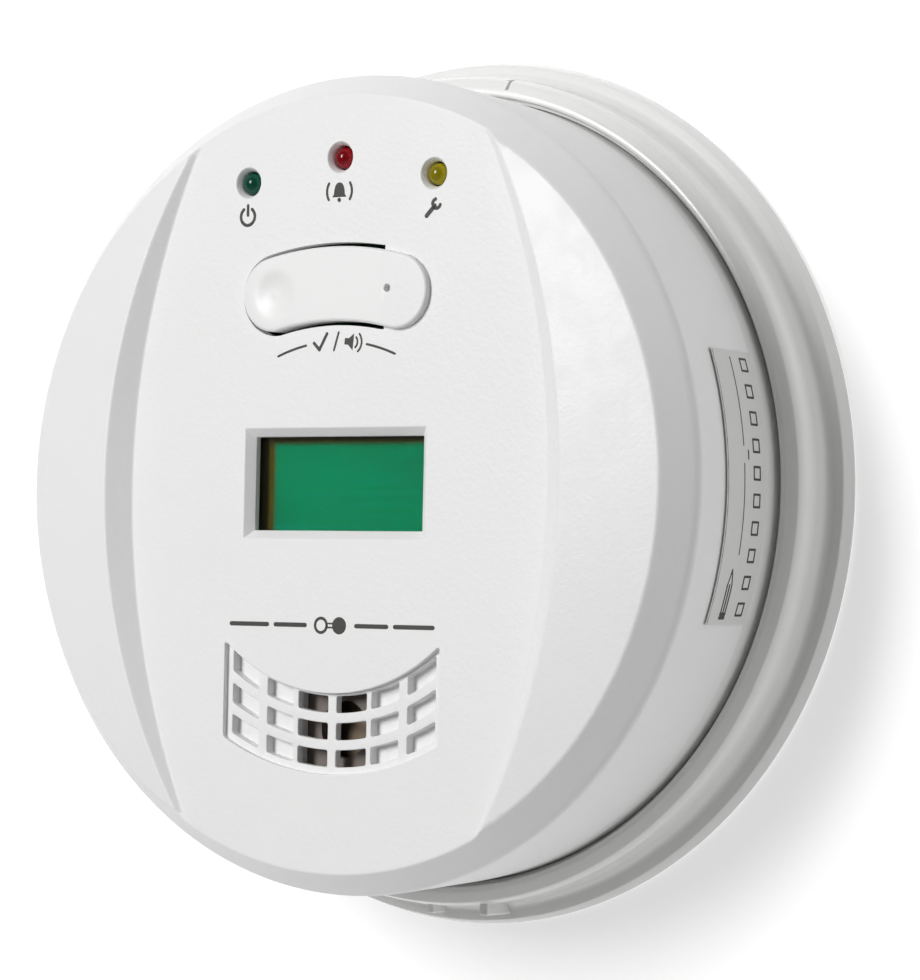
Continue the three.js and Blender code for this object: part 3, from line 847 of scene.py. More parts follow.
@dataclass(frozen=True)
class DisplayFinish(Finish):
    """Green display glass with a painted shadow of the window's frame along its left and top edges."""

    half: tuple[float, float] = (14.4, 6.5)
    # widths of the painted shadow band at the left and at the top
    shadow_band: tuple[float, float] = (1.7, 0.8)
    softness: float = 0.5
    lines: tuple[float, float, float] = (0.0, 0.16, 0.11)
    # colour of the painted shadow
    shadow_colour: tuple[float, float, float] = (0.05, 0.036, 0.003)

    def marked(self, tree: Tree, place: Socket, colour: Socket) -> Socket:
        """Adds a dark painted shadow of the window's frame at the left and the top, and faint lines
        across.

        Args:
            tree: the material's tree.
            place: the place on the surface.
            colour: the plain colour.

        Returns:
            The colour with its painted shadow and lines.
        """
        split = tree.add("SeparateXYZ", Vector=place)
        soft = self.softness * MM
        shadow_left_end = (self.shadow_band[0] - self.half[0]) * MM
        shadow_top_end = (self.half[1] - self.shadow_band[1]) * MM
        left = tree.ramp(split.outputs["X"], shadow_left_end - soft, shadow_left_end + soft, 1, 0)
        top = tree.ramp(split.outputs["Z"], shadow_top_end - soft, shadow_top_end + soft)
        # mask of the painted shadow that the window's frame casts on the glass at the left and the top
        edge = tree.maths("MAXIMUM", left, top)
        squash = tree.add("Mapping", Vector=place)
        squash.inputs["Scale"].default_value = (0.02, 1, 1)
        lines = tree.add("TexNoise", Vector=squash.outputs[0], Scale=1400.0, Detail=2.0)
        faint = tree.ramp(lines.outputs[0], 0.45, 0.75, 0, 0.35)
        lined = tree.blend(faint, colour, (*self.lines, 1))
        return tree.blend(edge, lined, (*self.shadow_colour, 1))


@dataclass(frozen=True)
class LampFinish(Finish):
    """A tinted lens with painted light: lighter round its rim, as if lit through the tint, and dark over
    its die.
    """

    tip: tuple[float, float, float] = (0, 0, 0)
    radius: float = 1.5
    # colour of the painted light round the rim
    glow: tuple[float, float, float] = (0, 0, 0)

    def marked(self, tree: Tree, place: Socket, colour: Socket) -> Socket:
        """Adds painted light round the rim, as if lit through the tinted lens, which leaves the middle
        dark over the die.

        Args:
            tree: the material's tree.
            place: the place on the surface.
            colour: the plain colour.

        Returns:
            The tint with its painted rim light.
        """
        apart = tree.add("VectorMath", {"operation": "DISTANCE"})
        tree.feed(apart.inputs[0], place)
        tree.feed(apart.inputs[1], [value * MM for value in self.tip])
        # painted light: the lens grows lighter away from its tip, as if lit through the tint
        rim = tree.ramp(apart.outputs["Value"], 0.45 * self.radius * MM, 1.15 * self.radius * MM)
        return tree.blend(rim, colour, (*self.glow, 1))


@dataclass(frozen=True)
class GlassFinish:
    """Clear moulded plastic that lets the lamps' light through."""

    name: str
    colour: tuple[float, float, float]
    roughness: float = 0.03
    gloss_drift: float = 0.02
    ior: float = 1.36

    def material(self, effects: Effects) -> bpy.types.Material:
        """Builds the material.

        Args:
            effects: the shared shader groups.

        Returns:
            The new material.
        """
        material = bpy.data.materials.new(self.name)
        material.use_nodes = True
        tree = Tree(material.node_tree)
        nodes = material.node_tree.nodes
        shader = nodes["Principled BSDF"]
        shader.inputs["Base Color"].default_value = (*self.colour, 1)
        shader.inputs["Transmission Weight"].default_value = 1.0
        shader.inputs["IOR"].default_value = self.ior
        place = tree.add("TexCoord").outputs["Object"]
        drift = tree.add("Group", {"node_tree": effects.drift}, Place=place)
        rough = tree.maths("MULTIPLY_ADD", drift.outputs["Gloss"], self.gloss_drift, self.roughness)
        tree.feed(shader.inputs["Roughness"], rough)
        clear = tree.add("BsdfTransparent", Color=(*self.colour, 1))
        path = tree.add("LightPath")
        mix = nodes.new("ShaderNodeMixShader")
        tree.feed(mix.inputs[0], path.outputs["Is Shadow Ray"])
        tree.feed(mix.inputs[1], shader.outputs[0])
        tree.feed(mix.inputs[2], clear.outputs[0])
        tree.feed(nodes["Material Output"].inputs["Surface"], mix.outputs[0])
        return material


def fitted(piece: bpy.types.Object, body: Body, slot: Slot, material: bpy.types.Material,
           *nodes: str) -> bpy.types.Object:
    """Dresses a piece, gives it to its body and reports it.

    Args:
        piece: the finished object.
        body: the body it moves with.
        slot: the record's slot for its finish; not used.
        material: its material.
        *nodes: the CAD nodes it stands for.

    Returns:
        The same object.
    """
    piece.data.materials.clear()
    piece.data.materials.append(material)
    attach(piece, body.value)
    if nodes:
        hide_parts(*nodes)
    log.info("%s: %d faces, rides on %s", piece.name, len(piece.data.polygons), body.value)
    return piece


# ---------------------------------------------------------------- wall plate


@dataclass(frozen=True)
class WallPlate:
    """The plate that is screwed to the wall, with its raised ring, hooks and keyholes."""

    frame: Frame
    effects: Effects
    floor: float = 2.0
    flange_front: float = 2.5
    flange_width: float = 2.9
    ring_wall: float = 2.9
    groove: float = 1.3  # depth of the open gap round the housing
    ledge: float = 0.45  # width of the shelf that closes it
    ring_front: float = 10.9
    keyhole_spacing: float = 55
    keyhole_head: float = 4.5
    keyhole_slot: float = 4.4
    keyhole_length: float = 9
    hole_edge: float = 0.25
    hook_reach: float = 3  # degrees either side of the hook's middle
    hook_parts: tuple[tuple[float, float, float], ...] = ((1, 1.6, 8.2), (2.1, 7.0, 8.5))
    grip_height: float = 2.2
    grip_back: float = 1.2
    grip_line: float = 9  # where the ring's bottom is measured for the grips
    grips: tuple[tuple[float, float, float, float], ...] = ((-3, 1.0, -1.0, 6.4), (8, 1.4, -0.6, 8.9))
    nick_turn: float = 79.7
    nick_size: tuple[float, float] = (0.42, 1.7)
    nick_inset: float = 0.9  # from the ring's outside to the nick's middle
    nick_depth: float = 3.2
    finish: Finish = Finish("smooth_plate_white", (0.86, 0.86, 0.85), 0.24, grain=0.004, scale=700,
                            drift=0.01, gloss_drift=0.02, coat=0.4)

    def profile(self) -> list[tuple[float, float]]:
        """Draws the section of the flange and the ring, from the back round to the floor.

        Returns:
            Pairs of radius and depth: the flange's edge and top, the ring's outside, its crown,
            the shelf that closes the gap, and the foot of its inside.
        """
        edge = self.frame.plate_radius
        ring = edge - self.flange_width
        inside = ring - self.ring_wall
        front = self.ring_front
        flange = self.flange_front
        shelf = front - self.groove
        foot = self.floor + 0.5
        section = [(edge - 0.25, 0), (edge - 0.07, 0.07), (edge, 0.25)]
        section += quadratic((edge, 0.5), (edge - 0.42, 2.45), (edge - 0.62, flange + 0.06), 6)
        section += [(edge - 0.8, flange + 0.12)]
        section += quadratic((ring + 1.5, flange + 0.42), (ring + 0.15, 3.2), (ring, 5.2), 12)
        section += [(ring, 7.6)]
        section += quadratic((ring, 8.1), (ring, 9.15), (ring - 0.55, front - 0.95), 8)
        section += [(ring - 1.1, front - 0.6)]
        crown_end = (inside, front - 0.7)
        section += quadratic((ring - 1.7, front - 0.18), (inside + 0.1, front + 0.35), crown_end, 10)
        section += [(inside, shelf + 0.1), (inside - 0.1, shelf)]
        inside -= self.ledge
        section += [(inside + 0.06, shelf), (inside, shelf - 0.06), (inside, foot)]
        section += [(inside - r, foot - d) for r, d in ((0.04, 0.19), (0.15, 0.35), (0.31, 0.46))]
        return section + [(inside - 0.5, self.floor)]

    def keyhole(self, x: float) -> Outline:
        """Makes a round hole with a narrow slot above it.

        Args:
            x: the hole's place across.

        Returns:
            The hole's outline.
        """
        half = self.keyhole_slot / 2
        turn = math.degrees(math.asin(half / self.keyhole_head))
        head = arc(Vector((x, 0)), self.keyhole_head, 90 + turn, 450 - turn, 40)
        return Outline(head + arc(Vector((x, self.keyhole_length)), half, 0, 180, 16))

    def hook(self, turn: float) -> bpy.types.Object:
        """Makes one twist-lock hook: a stem with a wider head.

        Args:
            turn: its place round the plate, in degrees.

        Returns:
            The hook.
        """
        start, end = turn - self.hook_reach, turn + self.hook_reach
        parts = []
        for half, back, front in self.hook_parts:
            outer = arc(MIDDLE, HOOK_RADIUS + half, start, end, 10)
            inner = arc(MIDDLE, HOOK_RADIUS - half, end, start, 10)
            parts.append(slab("hook_part", Outline(outer + inner), back, front, 0.12))
        return merged("hook", parts)

    def grip(self, x: float, width: float, foot: float, front: float) -> bpy.types.Object:
        """Makes one of the two small ribs at the bottom of the ring.

        Args:
            x: its place across.
            width: how wide it is.
            foot: height of its middle above the ring's bottom.
            front: depth of its front.

        Returns:
            The rib.
        """
        ring = self.frame.plate_radius - self.flange_width
        middle = foot - math.sqrt(ring**2 - self.grip_line**2)
        outline = rounded_box(width, self.grip_height, 0.3).shifted(x, middle)
        return slab("grip", outline, self.grip_back, front, 0.25)

    def build(self) -> bpy.types.Object:
        """Builds the plate and gives it to its body.

        Returns:
            The finished plate.
        """
        shell = Shell()
        rings = shell.turned(self.profile())
        holes = [self.keyhole(side * self.keyhole_spacing / 2) for side in (-1, 1)]
        edge, floor = self.hole_edge, self.floor
        section = [(edge, 0), (0.06, 0.08), (0, edge), (0, floor - edge), (0.06, floor - 0.08),
                   (edge, floor)]
        walls = [shell.wall(hole, section) for hole in holes]
        shell.sheet(rings[0], [loops[0] for loops in walls])
        shell.sheet(rings[-1], [loops[-1] for loops in walls])
        plate = shell.piece("wall_plate_ring")
        radius = self.frame.plate_radius - self.flange_width - self.nick_inset
        turn = math.radians(self.nick_turn)
        nick = rounded_box(*self.nick_size, 0.15)
        nick = nick.shifted(radius * math.cos(turn), radius * math.sin(turn))
        front = self.ring_front
        shaped(plate, [slab("nick", nick, front - self.nick_depth, front + 1, 0.1)], "DIFFERENCE")
        parts = [plate, *(self.hook(turn) for turn in HOOK_TURNS)]
        parts += [self.grip(*sizes) for sizes in self.grips]
        piece = merged("wall_plate_moulding", parts, 30)
        material = self.finish.material(self.effects)
        return fitted(piece, Body.WALL_PLATE, Slot.PLATE, material, "mounting_plate")


# ---------------------------------------------------------------- rear housing


@dataclass(frozen=True)
class RearHousing:
    """The shallow tray behind the cover, with the battery bay and the twist-lock slots."""

    frame: Frame
    effects: Effects
    finish: Finish
    parting: float = 13.6
    shell_wall: float = 1.7
    spigot_step: float = 2.05
    spigot_length: float = 2.7
    edge: float = 1.2
    bay: tuple[float, float, float] = (57.4, 45.6, 20.6)
    bay_wall: float = 1.4
    bay_middle: float = 5.5
    well_radius: float = 3.9
    well_depth: float = 12.1
    screw_head: float = 2.9
    screw_seat: float = 10.5
    screw_bore: float = 1.65
    post_radius: float = 3
    post_front: float = 22.7
    post_bore: tuple[float, float, float] = (1.3, 10.7, 24)  # radius, then depths of its ends
    tab_hole: tuple[float, float] = (1.3, 4.6)
    tab_place: float = 28.15  # from the middle out to each contact's tab
    overlap: float = 0.4  # how far joined pieces run into each other
    lock_turn: float = 15
    slot_parts: tuple[tuple[float, float, float], ...] = ((1.5, -4, 18.6), (2.6, -5, 5))

    def tray(self) -> bpy.types.Object:
        """Turns the tray with its spigot.

        Returns:
            The tray.
        """
        outer = self.frame.housing_radius
        spigot = outer - self.spigot_step
        inner = spigot - self.shell_wall
        back = self.frame.housing_back
        floor = back + self.shell_wall
        gap = self.parting - FIT
        tip = self.parting + self.spigot_length
        flat = outer - self.edge
        section = [(0.5, back), (flat, back)]
        section += quadratic((flat + 0.05, back), (outer, back), (outer, back + self.edge), 6)
        section += [(outer, gap - 0.2), (outer - 0.06, gap - 0.06), (outer - 0.2, gap), (spigot, gap)]
        section += [(spigot, tip), (inner, tip)]
        section += [(inner, floor + 0.6), (inner - 0.18, floor + 0.18), (inner - 0.6, floor), (0.5, floor)]
        shell = Shell()
        rings = shell.turned(section)
        shell.cap(rings[0])
        shell.cap(rings[-1])
        return shell.piece("tray")

    def drum(self, x: float, z: float, radius: float, back: float, front: float) -> bpy.types.Object:
        """Returns a round bar along the detector's axis."""
        return slab("drum", circle(x, z, radius, 40), back, front, 0.1)

    def hook_slot(self, turn: float) -> list[bpy.types.Object]:
        """Makes the cutters of one hook's slot: narrow to hold, and wide to enter.

        Args:
            turn: the hook's place round the plate when locked, in degrees.

        Returns:
            The cutters, with ends at slightly different depths.
        """
        back = self.frame.housing_back
        cutters = []
        entry = turn - self.lock_turn
        for half, before, after in self.slot_parts:
            start, end = entry + before, entry + after
            outer = arc(MIDDLE, HOOK_RADIUS + half, start, end, 14)
            inner = arc(MIDDLE, HOOK_RADIUS - half, end, start, 14)
            past = 1 + half / 10
            outline = Outline(outer + inner)
            cutters.append(slab("hook_slot", outline, back - past, back + self.shell_wall + past, 0.05))
        return cutters

    def build(self) -> bpy.types.Object:
        """Builds the housing and gives it to its body.

        Returns:
            The finished housing.
        """
        back = self.frame.housing_back
        width, height, ceiling = self.bay
        middle = self.bay_middle
        wall = 2 * self.bay_wall
        piece = self.tray()
        box = rounded_box(width + wall, height + wall, 1.5).shifted(0, middle)
        screws = [middle_of(f"housing_screw_{number}") for number in range(1, 5)]
        posts = [middle_of(f"board_screw_{number}") for number in range(1, 4)]
        foot = back + self.overlap
        added = [slab("bay", box, foot, ceiling + self.bay_wall, 0.3)]
        added += [self.drum(s.x, s.z, self.well_radius, foot, self.well_depth) for s in screws]
        added += [self.drum(p.x, p.z, self.post_radius, foot, self.post_front) for p in posts]
        shaped(piece, added, "UNION")
        cuts = [slab("bay", rounded_box(width, height, 0.8).shifted(0, middle), back - 1, ceiling, 0.3)]
        cuts += [self.drum(s.x, s.z, self.screw_head, back - 1, self.screw_seat) for s in screws]
        cuts += [self.drum(s.x, s.z, self.screw_bore, back - 1, self.well_depth + 1) for s in screws]
        cuts += [self.drum(p.x, p.z, *self.post_bore) for p in posts]
        cuts += [cutter for turn in HOOK_TURNS for cutter in self.hook_slot(turn)]
        for node in ("contact_positive", "contact_negative"):
            contact = middle_of(node)
            side = math.copysign(self.tab_place, contact.x)
            hole = rounded_box(*self.tab_hole, 0.2).shifted(side, contact.z)
            cuts.append(slab("tab_hole", hole, ceiling - 1, ceiling + 3, 0.05))
        shaped(piece, cuts, "DIFFERENCE")
        piece.name = "rear_housing_moulding"
        tidy(piece)
        material = self.finish.material(self.effects)
        return fitted(piece, Body.ALARM, Slot.WHITE, material, "rear_housing")


# ---------------------------------------------------------------- front cover


@dataclass(frozen=True)
class TestButton:
    """The arched pill: a tongue that bends at its right end, which belongs to the cover."""

    frame: Frame
    effects: Effects
    centre: float = 26.4
    arch: float = 45.2
    half_width: float = 5.2
    end: float = 10.65
    slot: float = 0.55
    edge: float = 0.45
    dimple: float = 3.6
    dimple_depth: float = 0.42
    dimple_x: float = -10.3
    pinhole: tuple[float, float, float] = (9.2, 26.8, 0.55)
    rib: tuple[float, float] = (2, 5)  # width and height
    rib_rise: float = 0.6  # of its middle above the button's
    cut: float = 0.001  # half the gap at the hinge line
    relief: float = 0.02  # slant of the tongue's end, which leaves room for its turn
    finish: Finish = Finish("smooth_button_white", (0.84, 0.84, 0.835), 0.38, grain=0.002, scale=1200,
                            drift=0.015, gloss_drift=0.04)

    def outline(self) -> Outline:
        """Draws the whole pill.

        Returns:
            Its outline, anticlockwise from the top of the right-hand end.
        """
        lean = math.degrees(math.asin(self.end / self.arch))
        hub = Vector((0, self.centre - self.arch * math.cos(math.radians(lean))))
        half = self.half_width
        points = arc(hub, self.arch + half, 90 - lean, 90 + lean, 40)[:-1]
        points += arc(Vector((-self.end, self.centre)), half, 90 + lean, 270 + lean, 40)[:-1]
        points += arc(hub, self.arch - half, 90 + lean, 90 - lean, 40)[:-1]
        points += arc(Vector((self.end, self.centre)), half, -90 - lean, 90 - lean, 40)[:-1]
        return Outline(points)

    def surface(self, x: float, z: float) -> float:
        """Shapes the button's face, which dips where the finger goes.

        Args:
            x: place across.
            z: height.

        Returns:
            The face's depth at the place.
        """
        share = math.hypot(x - self.dimple_x, z - self.centre) / self.dimple
        dip = self.dimple_depth * (1 - share**2) ** 2 * (1 + share) if share < 1 else 0
        return self.frame.button_front - dip

    def pill(self, back: float, right: bool) -> bpy.types.Object:
        """Makes the part of the pill on one side of the hinge line.

        Args:
            back: depth of its rear face.
            right: True for the end that stays fixed.

        Returns:
            A closed mesh.
        """
        outline = self.outline()
        front = self.frame.button_front
        shell = Shell()
        loops = shell.wall(outline, crown(self.edge, front) + [(0, back)])
        x, z, radius = self.pinhole
        hole = shell.wall(circle(x, z, radius, 24), lip(0.08, front) + [(0, back + 0.3)])
        shell.cap(hole[-1])
        middle = Vector((self.dimple_x, self.centre))
        inner = [middle]
        for ring in range(1, 11):
            inner += circle(*middle, self.dimple * ring / 9, 8 + 6 * ring).points
        inside = outline.grown(-self.edge - 0.15).holds(np.array([tuple(p) for p in inner]))
        shell.sheet(loops[0], [hole[0]], [p for p, ok in zip(inner, inside) if ok], self.surface)
        shell.cap(loops[-1])
        piece = shell.piece("pill", 40)
        bm = bmesh.new()
        bm.from_mesh(piece.data)
        side = 1 if right else -1
        start = Vector((self.frame.button_hinge + self.cut * side, -front, 0)) * MM
        lean = (1, 0, 0) if right else (-1, -self.relief, 0)
        geometry = [*bm.verts, *bm.edges, *bm.faces]
        bmesh.ops.bisect_plane(bm, geom=geometry, plane_co=start, plane_no=lean, clear_inner=True)
        bmesh.ops.holes_fill(bm, edges=[edge for edge in bm.edges if edge.is_boundary])
        bm.to_mesh(piece.data)
        bm.free()
        tidy(piece, 40)
        return piece

    def opening(self) -> Outline:
        """Draws the slot's outer edge.

        Returns:
            Its outline: round the tongue, and straight across at the hinge line.
        """
        hinge = self.frame.button_hinge
        whole = self.outline().grown(self.slot)
        kept = [point for point in whole.points if point.x < hinge - 0.2]
        return Outline([Vector((hinge, kept[-1].y)), Vector((hinge, kept[0].y)), *kept])

    def build(self) -> bpy.types.Object:
        """Builds the tongue with the rib that reaches back to the switch.

        Returns:
            The finished button.
        """
        cover_inside = self.frame.lens_front + FIT
        tongue = self.pill(cover_inside, False)
        outline = rounded_box(*self.rib, 0.3).shifted(0, self.centre + self.rib_rise)
        rib = slab("rib", outline, self.frame.button_foot, cover_inside + 0.5, 0.15)
        piece = merged("test_button_tongue", [tongue, rib], 40)
        material = self.finish.material(self.effects)
        return fitted(piece, Body.BUTTON, Slot.BUTTON, material, "test_button")


@dataclass(frozen=True)
class Grille:
    """The fan of small openings over the sounder."""

    centre: float = -1.0
    top: float = 28.1
    bottom: float = 39.3
    half_width: float = 18.5
    recess: float = 0.8
    rows: int = 3
    first: float = 28.45
    pitch: float = 3.75
    height: float = 2.35
    columns: tuple[tuple[float, float], ...] = ((3.3, 5.15), (9.03, 4.6), (15.15, 4.65))
    blind: float = 1.5
    pad: float = 1.5
    corner: float = 0.35
    recess_corner: float = 0.65
    pad_margin: float = 0.4  # how far the pads reach past the recess
    edge: float = 0.14

    def cells(self) -> list[tuple[Outline, bool]]:
        """Draws the cells.

        Returns:
            Each cell's outline, and whether it goes right through.
        """
        fan = Fan(self.centre)
        found = []
        for column, (x, width) in enumerate(self.columns):
            for side in (-1, 1):
                left = side * x - width / 2
                for row in range(self.rows):
                    inner = self.first + row * self.pitch
                    cell = fan.strip(left, left + width, inner, inner + self.height, self.corner)
                    found.append((cell, column == 0))
        return found

    def outline(self) -> Outline:
        """Returns the recess's edge."""
        half = self.half_width
        return Fan(self.centre).strip(-half, half, self.top, self.bottom, self.recess_corner)

    def pads(self) -> list[Outline]:
        """Draws the thicker areas behind the blind cells.

        Returns:
            Their outlines, left and right.
        """
        x, width = self.columns[0]
        near = x + width / 2 + 0.3
        far = self.half_width + self.pad_margin
        top, bottom = self.top - self.pad_margin, self.bottom + self.pad_margin
        fan = Fan(self.centre)
        return [fan.strip(*sorted((side * near, side * far)), top, bottom, 0.3) for side in (-1, 1)]


@dataclass(frozen=True)
class FrontCover:
    """The domed cover with its flat front panel between two long arcs."""

    frame: Frame
    effects: Effects
    button: TestButton
    finish: Finish
    grille: Grille = Grille()
    wall: float = 2.0
    face_radius: float = 53.6
    face_depth: float = 36.5
    dome_rise: float = 4.2
    panel_half_width: float = 35.9
    panel_arc: float = 109
    slope: float = 0.797  # rise of the panel's side walls for each millimetre across
    edge_blend: float = 0.25
    foot_blend: float = 0.16
    crest_blend: float = 0.2
    arc_end: float = 25.5  # degrees from the middle to each end of the panel's arcs
    rim_end: float = 56.45
    rim_drop: float = 3.5
    rear_radius: float = 56.35
    parting: float = 13.6
    window: tuple[float, float] = (28.9, 13.1)
    window_corner: float = 0.12
    bevel: float = 1.1
    bevel_depth: float = 1.2
    lamp_hole: float = 1.75
    lamp_sink: float = 0.42
    boss_radius: float = 3.2
    boss_foot: float = 12.4
    boss_bore: float = 1.6
    boss_end: float = 30
    overlap: float = 0.4  # how far joined pieces run into each other

    @property
    def panel(self) -> float:
        """The front panel's depth."""
        return self.frame.lens_front + FIT + self.wall

    def beyond(self, x: float, z: float) -> float:
        """Returns how far a place is outside the panel's long arcs."""
        return math.hypot(abs(x) + self.panel_arc - self.panel_half_width, z) - self.panel_arc

    def dome(self, radius: float) -> float:
        """Returns the depth of the domed face at a distance from the middle."""
        ball = (self.face_radius**2 + self.dome_rise**2) / (2 * self.dome_rise)
        return self.face_depth + self.dome_rise - ball + math.sqrt(ball**2 - radius**2)

    def skin(self, x: float, z: float) -> float:
        """Returns the depth of the cover's front at a place.

        Args:
            x: place across.
            z: height.

        Returns:
            The depth, with the foot and the crest of each slope rounded.
        """
        radius = math.hypot(x, z)
        fall = self.rim_drop / (self.rim_end - self.face_radius)
        rim = self.face_depth - (radius - self.face_radius) * fall
        body = soft_low(self.dome(radius), rim, self.edge_blend)
        wall = soft_high(0, self.slope * self.beyond(x, z), self.foot_blend)
        return soft_low(self.panel + wall, body, self.crest_blend)

    def crest(self, turn: float, side: int) -> float:
        """Finds where the sloped wall meets the dome, step by step.

        Args:
            turn: the place along the panel's arc, in degrees.
            side: -1 for the left arc, 1 for the right.

        Returns:
            How far outside the arc they meet.
        """
        reach = 0.0
        for _ in range(24):
            x, z = self.arc_point(turn, reach, side)
            radius = min(math.hypot(x, z), self.face_radius)
            reach += 0.6 * ((self.dome(radius) - self.panel) / self.slope - reach)
        return reach

    def arc_point(self, turn: float, out: float, side: int) -> Vector:
        """Finds a place beside one of the panel's arcs.

        Args:
            turn: how far along the arc, in degrees.
            out: how far outside it.
            side: -1 for the left arc, 1 for the right.

        Returns:
            The place, as x and z.
        """
        angle = math.radians(turn)
        radius = self.panel_arc + out
        x = radius * math.cos(angle) - self.panel_arc + self.panel_half_width
        return Vector((side * x, radius * math.sin(angle)))

    def samples(self) -> list[Vector]:
        """Chooses the inner places of the front: dense where it bends, sparse where it is flat.

        Returns:
            The places, as x and z.
        """
        places = []
        edge = self.face_radius
        for step in (-0.9, -0.5, -0.3, -0.15, 0, 0.12, 0.25, 0.38, 0.5, 0.62, 0.8, 1.05, 1.5, 2.1):
            places += circle(0, 0, edge + step, ROUND).points
        near = edge - 0.36
        around = (-1.4, -0.8, -0.5, -0.32, -0.16, 0, 0.16, 0.32, 0.5, 0.8)
        for side in (-1, 1):
            for turn in spread(-self.arc_end, self.arc_end, 150):
                crest = self.crest(turn, side)
                outs: list[float] = []
                for out in sorted([*around, *(crest + step for step in (*around, 1.3))]):
                    if not outs or out - outs[-1] > 0.11:
                        outs.append(out)
                line = [self.arc_point(turn, out, side) for out in outs]
                places += [point for point in line if point.length < near]
        wing = 5.2  # past this far outside the arcs, only the dome is left
        for radius in spread(34, near - 0.4, 14):
            ring = circle(0, 0, radius, round(4 * radius)).points
            places += [point for point in ring if self.beyond(point.x, point.y) > wing]
        return places

    def openings(self, shell: Shell, inside: float) -> tuple[list[list[int]], list[list[int]]]:
        """Cuts the holes of the panel.

        Args:
            shell: the cover in the making.
            inside: depth of the cover's inner face.

        Returns:
            The loops at the front of the holes and those at the inner face.
        """
        front, back = [], []
        panel = self.panel
        foot = panel - self.bevel_depth
        bevel = self.bevel
        frame = [(bevel + 0.22, panel), (bevel + 0.1, panel - 0.03), (bevel, panel - 0.11),
                 (0.07, foot + 0.08), (0.02, foot), (0, foot - 0.12), (0, inside)]
        width, height = self.window
        loops = []
        for grown, depth in frame:
            outline = rounded_box(width + 2 * grown, height + 2 * grown, self.window_corner)
            loops.append(shell.loop(outline, depth))
        for first, second in zip(loops, loops[1:]):
            shell.strip(first, second)
        front.append(loops[0])
        back.append(loops[-1])
        sink = self.lamp_sink
        section = [(sink + 0.12, panel), (sink + 0.05, panel - 0.03), (sink, panel - 0.09),
                   (0.03, panel - 0.76), (0, panel - 0.86), (0, inside)]
        for x, z in self.frame.indicators.values():
            loops = shell.wall(circle(x, z, self.lamp_hole, 56), section)
            front.append(loops[0])
            back.append(loops[-1])
        loops = shell.wall(self.button.opening(), lip(0.08, panel, 2) + [(0, inside)])
        front.append(loops[0])
        back.append(loops[-1])
        return front, back

    def grille_area(self, shell: Shell, inside: float) -> tuple[list[int], list[list[int]]]:
        """Builds the recessed fan with its cells.

        Args:
            shell: the cover in the making.
            inside: depth of the cover's inner face.

        Returns:
            The recess's loop on the panel, and the loops that are open at the inner face.
        """
        bars = self.panel - self.grille.recess
        section = lip(0.16, self.panel) + floor_turn(0.1, bars)
        loops = shell.wall(self.grille.outline(), section)
        tops, open_behind = [], []
        for cell, through in self.grille.cells():
            floor = bars - self.grille.blind
            end = [(0, inside)] if through else floor_turn(0.12, floor)
            walls = shell.wall(cell, lip(self.grille.edge, bars) + end)
            tops.append(walls[0])
            if through:
                open_behind.append(walls[-1])
            else:
                shell.cap(walls[-1])
        shell.sheet(loops[-1], tops)
        return loops[0], open_behind

    def build(self) -> bpy.types.Object:
        """Builds the cover as one closed shell and gives it to its body.

        Returns:
            The finished cover.
        """
        inside = self.panel - self.wall
        shell = Shell()
        front, back = self.openings(shell, inside)
        fan, open_behind = self.grille_area(shell, inside)
        outer = circle(0, 0, self.rim_end, ROUND)
        edge = shell.loop(outer, self.face_depth - self.rim_drop)
        shell.sheet(edge, [*front, fan], self.samples(), self.skin)
        rim = self.frame.rim_radius
        start = (self.rim_end, self.face_depth - self.rim_drop)
        nose = quadratic(start, (rim + 0.02, start[1] - 0.9), (rim - 0.03, start[1] - 1.9), 9)[1:]
        rear, inner = self.rear_radius, self.rear_radius - self.wall
        skirt = [(rear + 0.02, self.parting + 0.4), (rear - 0.03, self.parting + 0.16),
                 (rear - 0.14, self.parting + 0.04), (rear - 0.3, self.parting), (inner, self.parting),
                 (inner, inside - 3.5), (inner - 3.5, inside)]
        rings = shell.turned(nose + skirt, start=edge)
        pads = []
        for pad in self.grille.pads():
            walls = shell.wall(pad, [(0, inside), (0, inside - self.grille.pad)])
            shell.cap(walls[-1])
            pads.append(walls[0])
        shell.sheet(rings[-1], [*back, *open_behind, *pads])
        cover = shell.piece("cover", 30)
        bosses = []
        for number in range(1, 5):
            middle = middle_of(f"housing_screw_{number}")
            tube = Shell()
            section = [(self.boss_radius, inside + self.overlap), (self.boss_radius, self.boss_foot),
                       (self.boss_bore, self.boss_foot), (self.boss_bore, self.boss_end),
                       (0.05, self.boss_end)]
            rings = tube.turned(section, middle.x, middle.z, 40)
            tube.cap(rings[0])
            tube.cap(rings[-1])
            bosses.append(tube.piece("boss"))
        fixed = self.button.pill(inside + 0.5, True)
        piece = merged("front_cover_moulding", [cover, fixed, *bosses], 30)
        material = self.finish.material(self.effects)
        return fitted(piece, Body.ALARM, Slot.WHITE, material, "front_cover")


def soft_low(first: float, second: float, width: float) -> float:
    """Returns the lower of two numbers, blended where they are within width of each other."""
    share = min(1.0, max(0.0, 0.5 + 0.5 * (second - first) / width))
    return second * (1 - share) + first * share - width * share * (1 - share)


def soft_high(first: float, second: float, width: float) -> float:
    """Returns the higher of two numbers, blended where they are within width of each other."""
    return -soft_low(-first, -second, width)


# ---------------------------------------------------------------- display and indicators


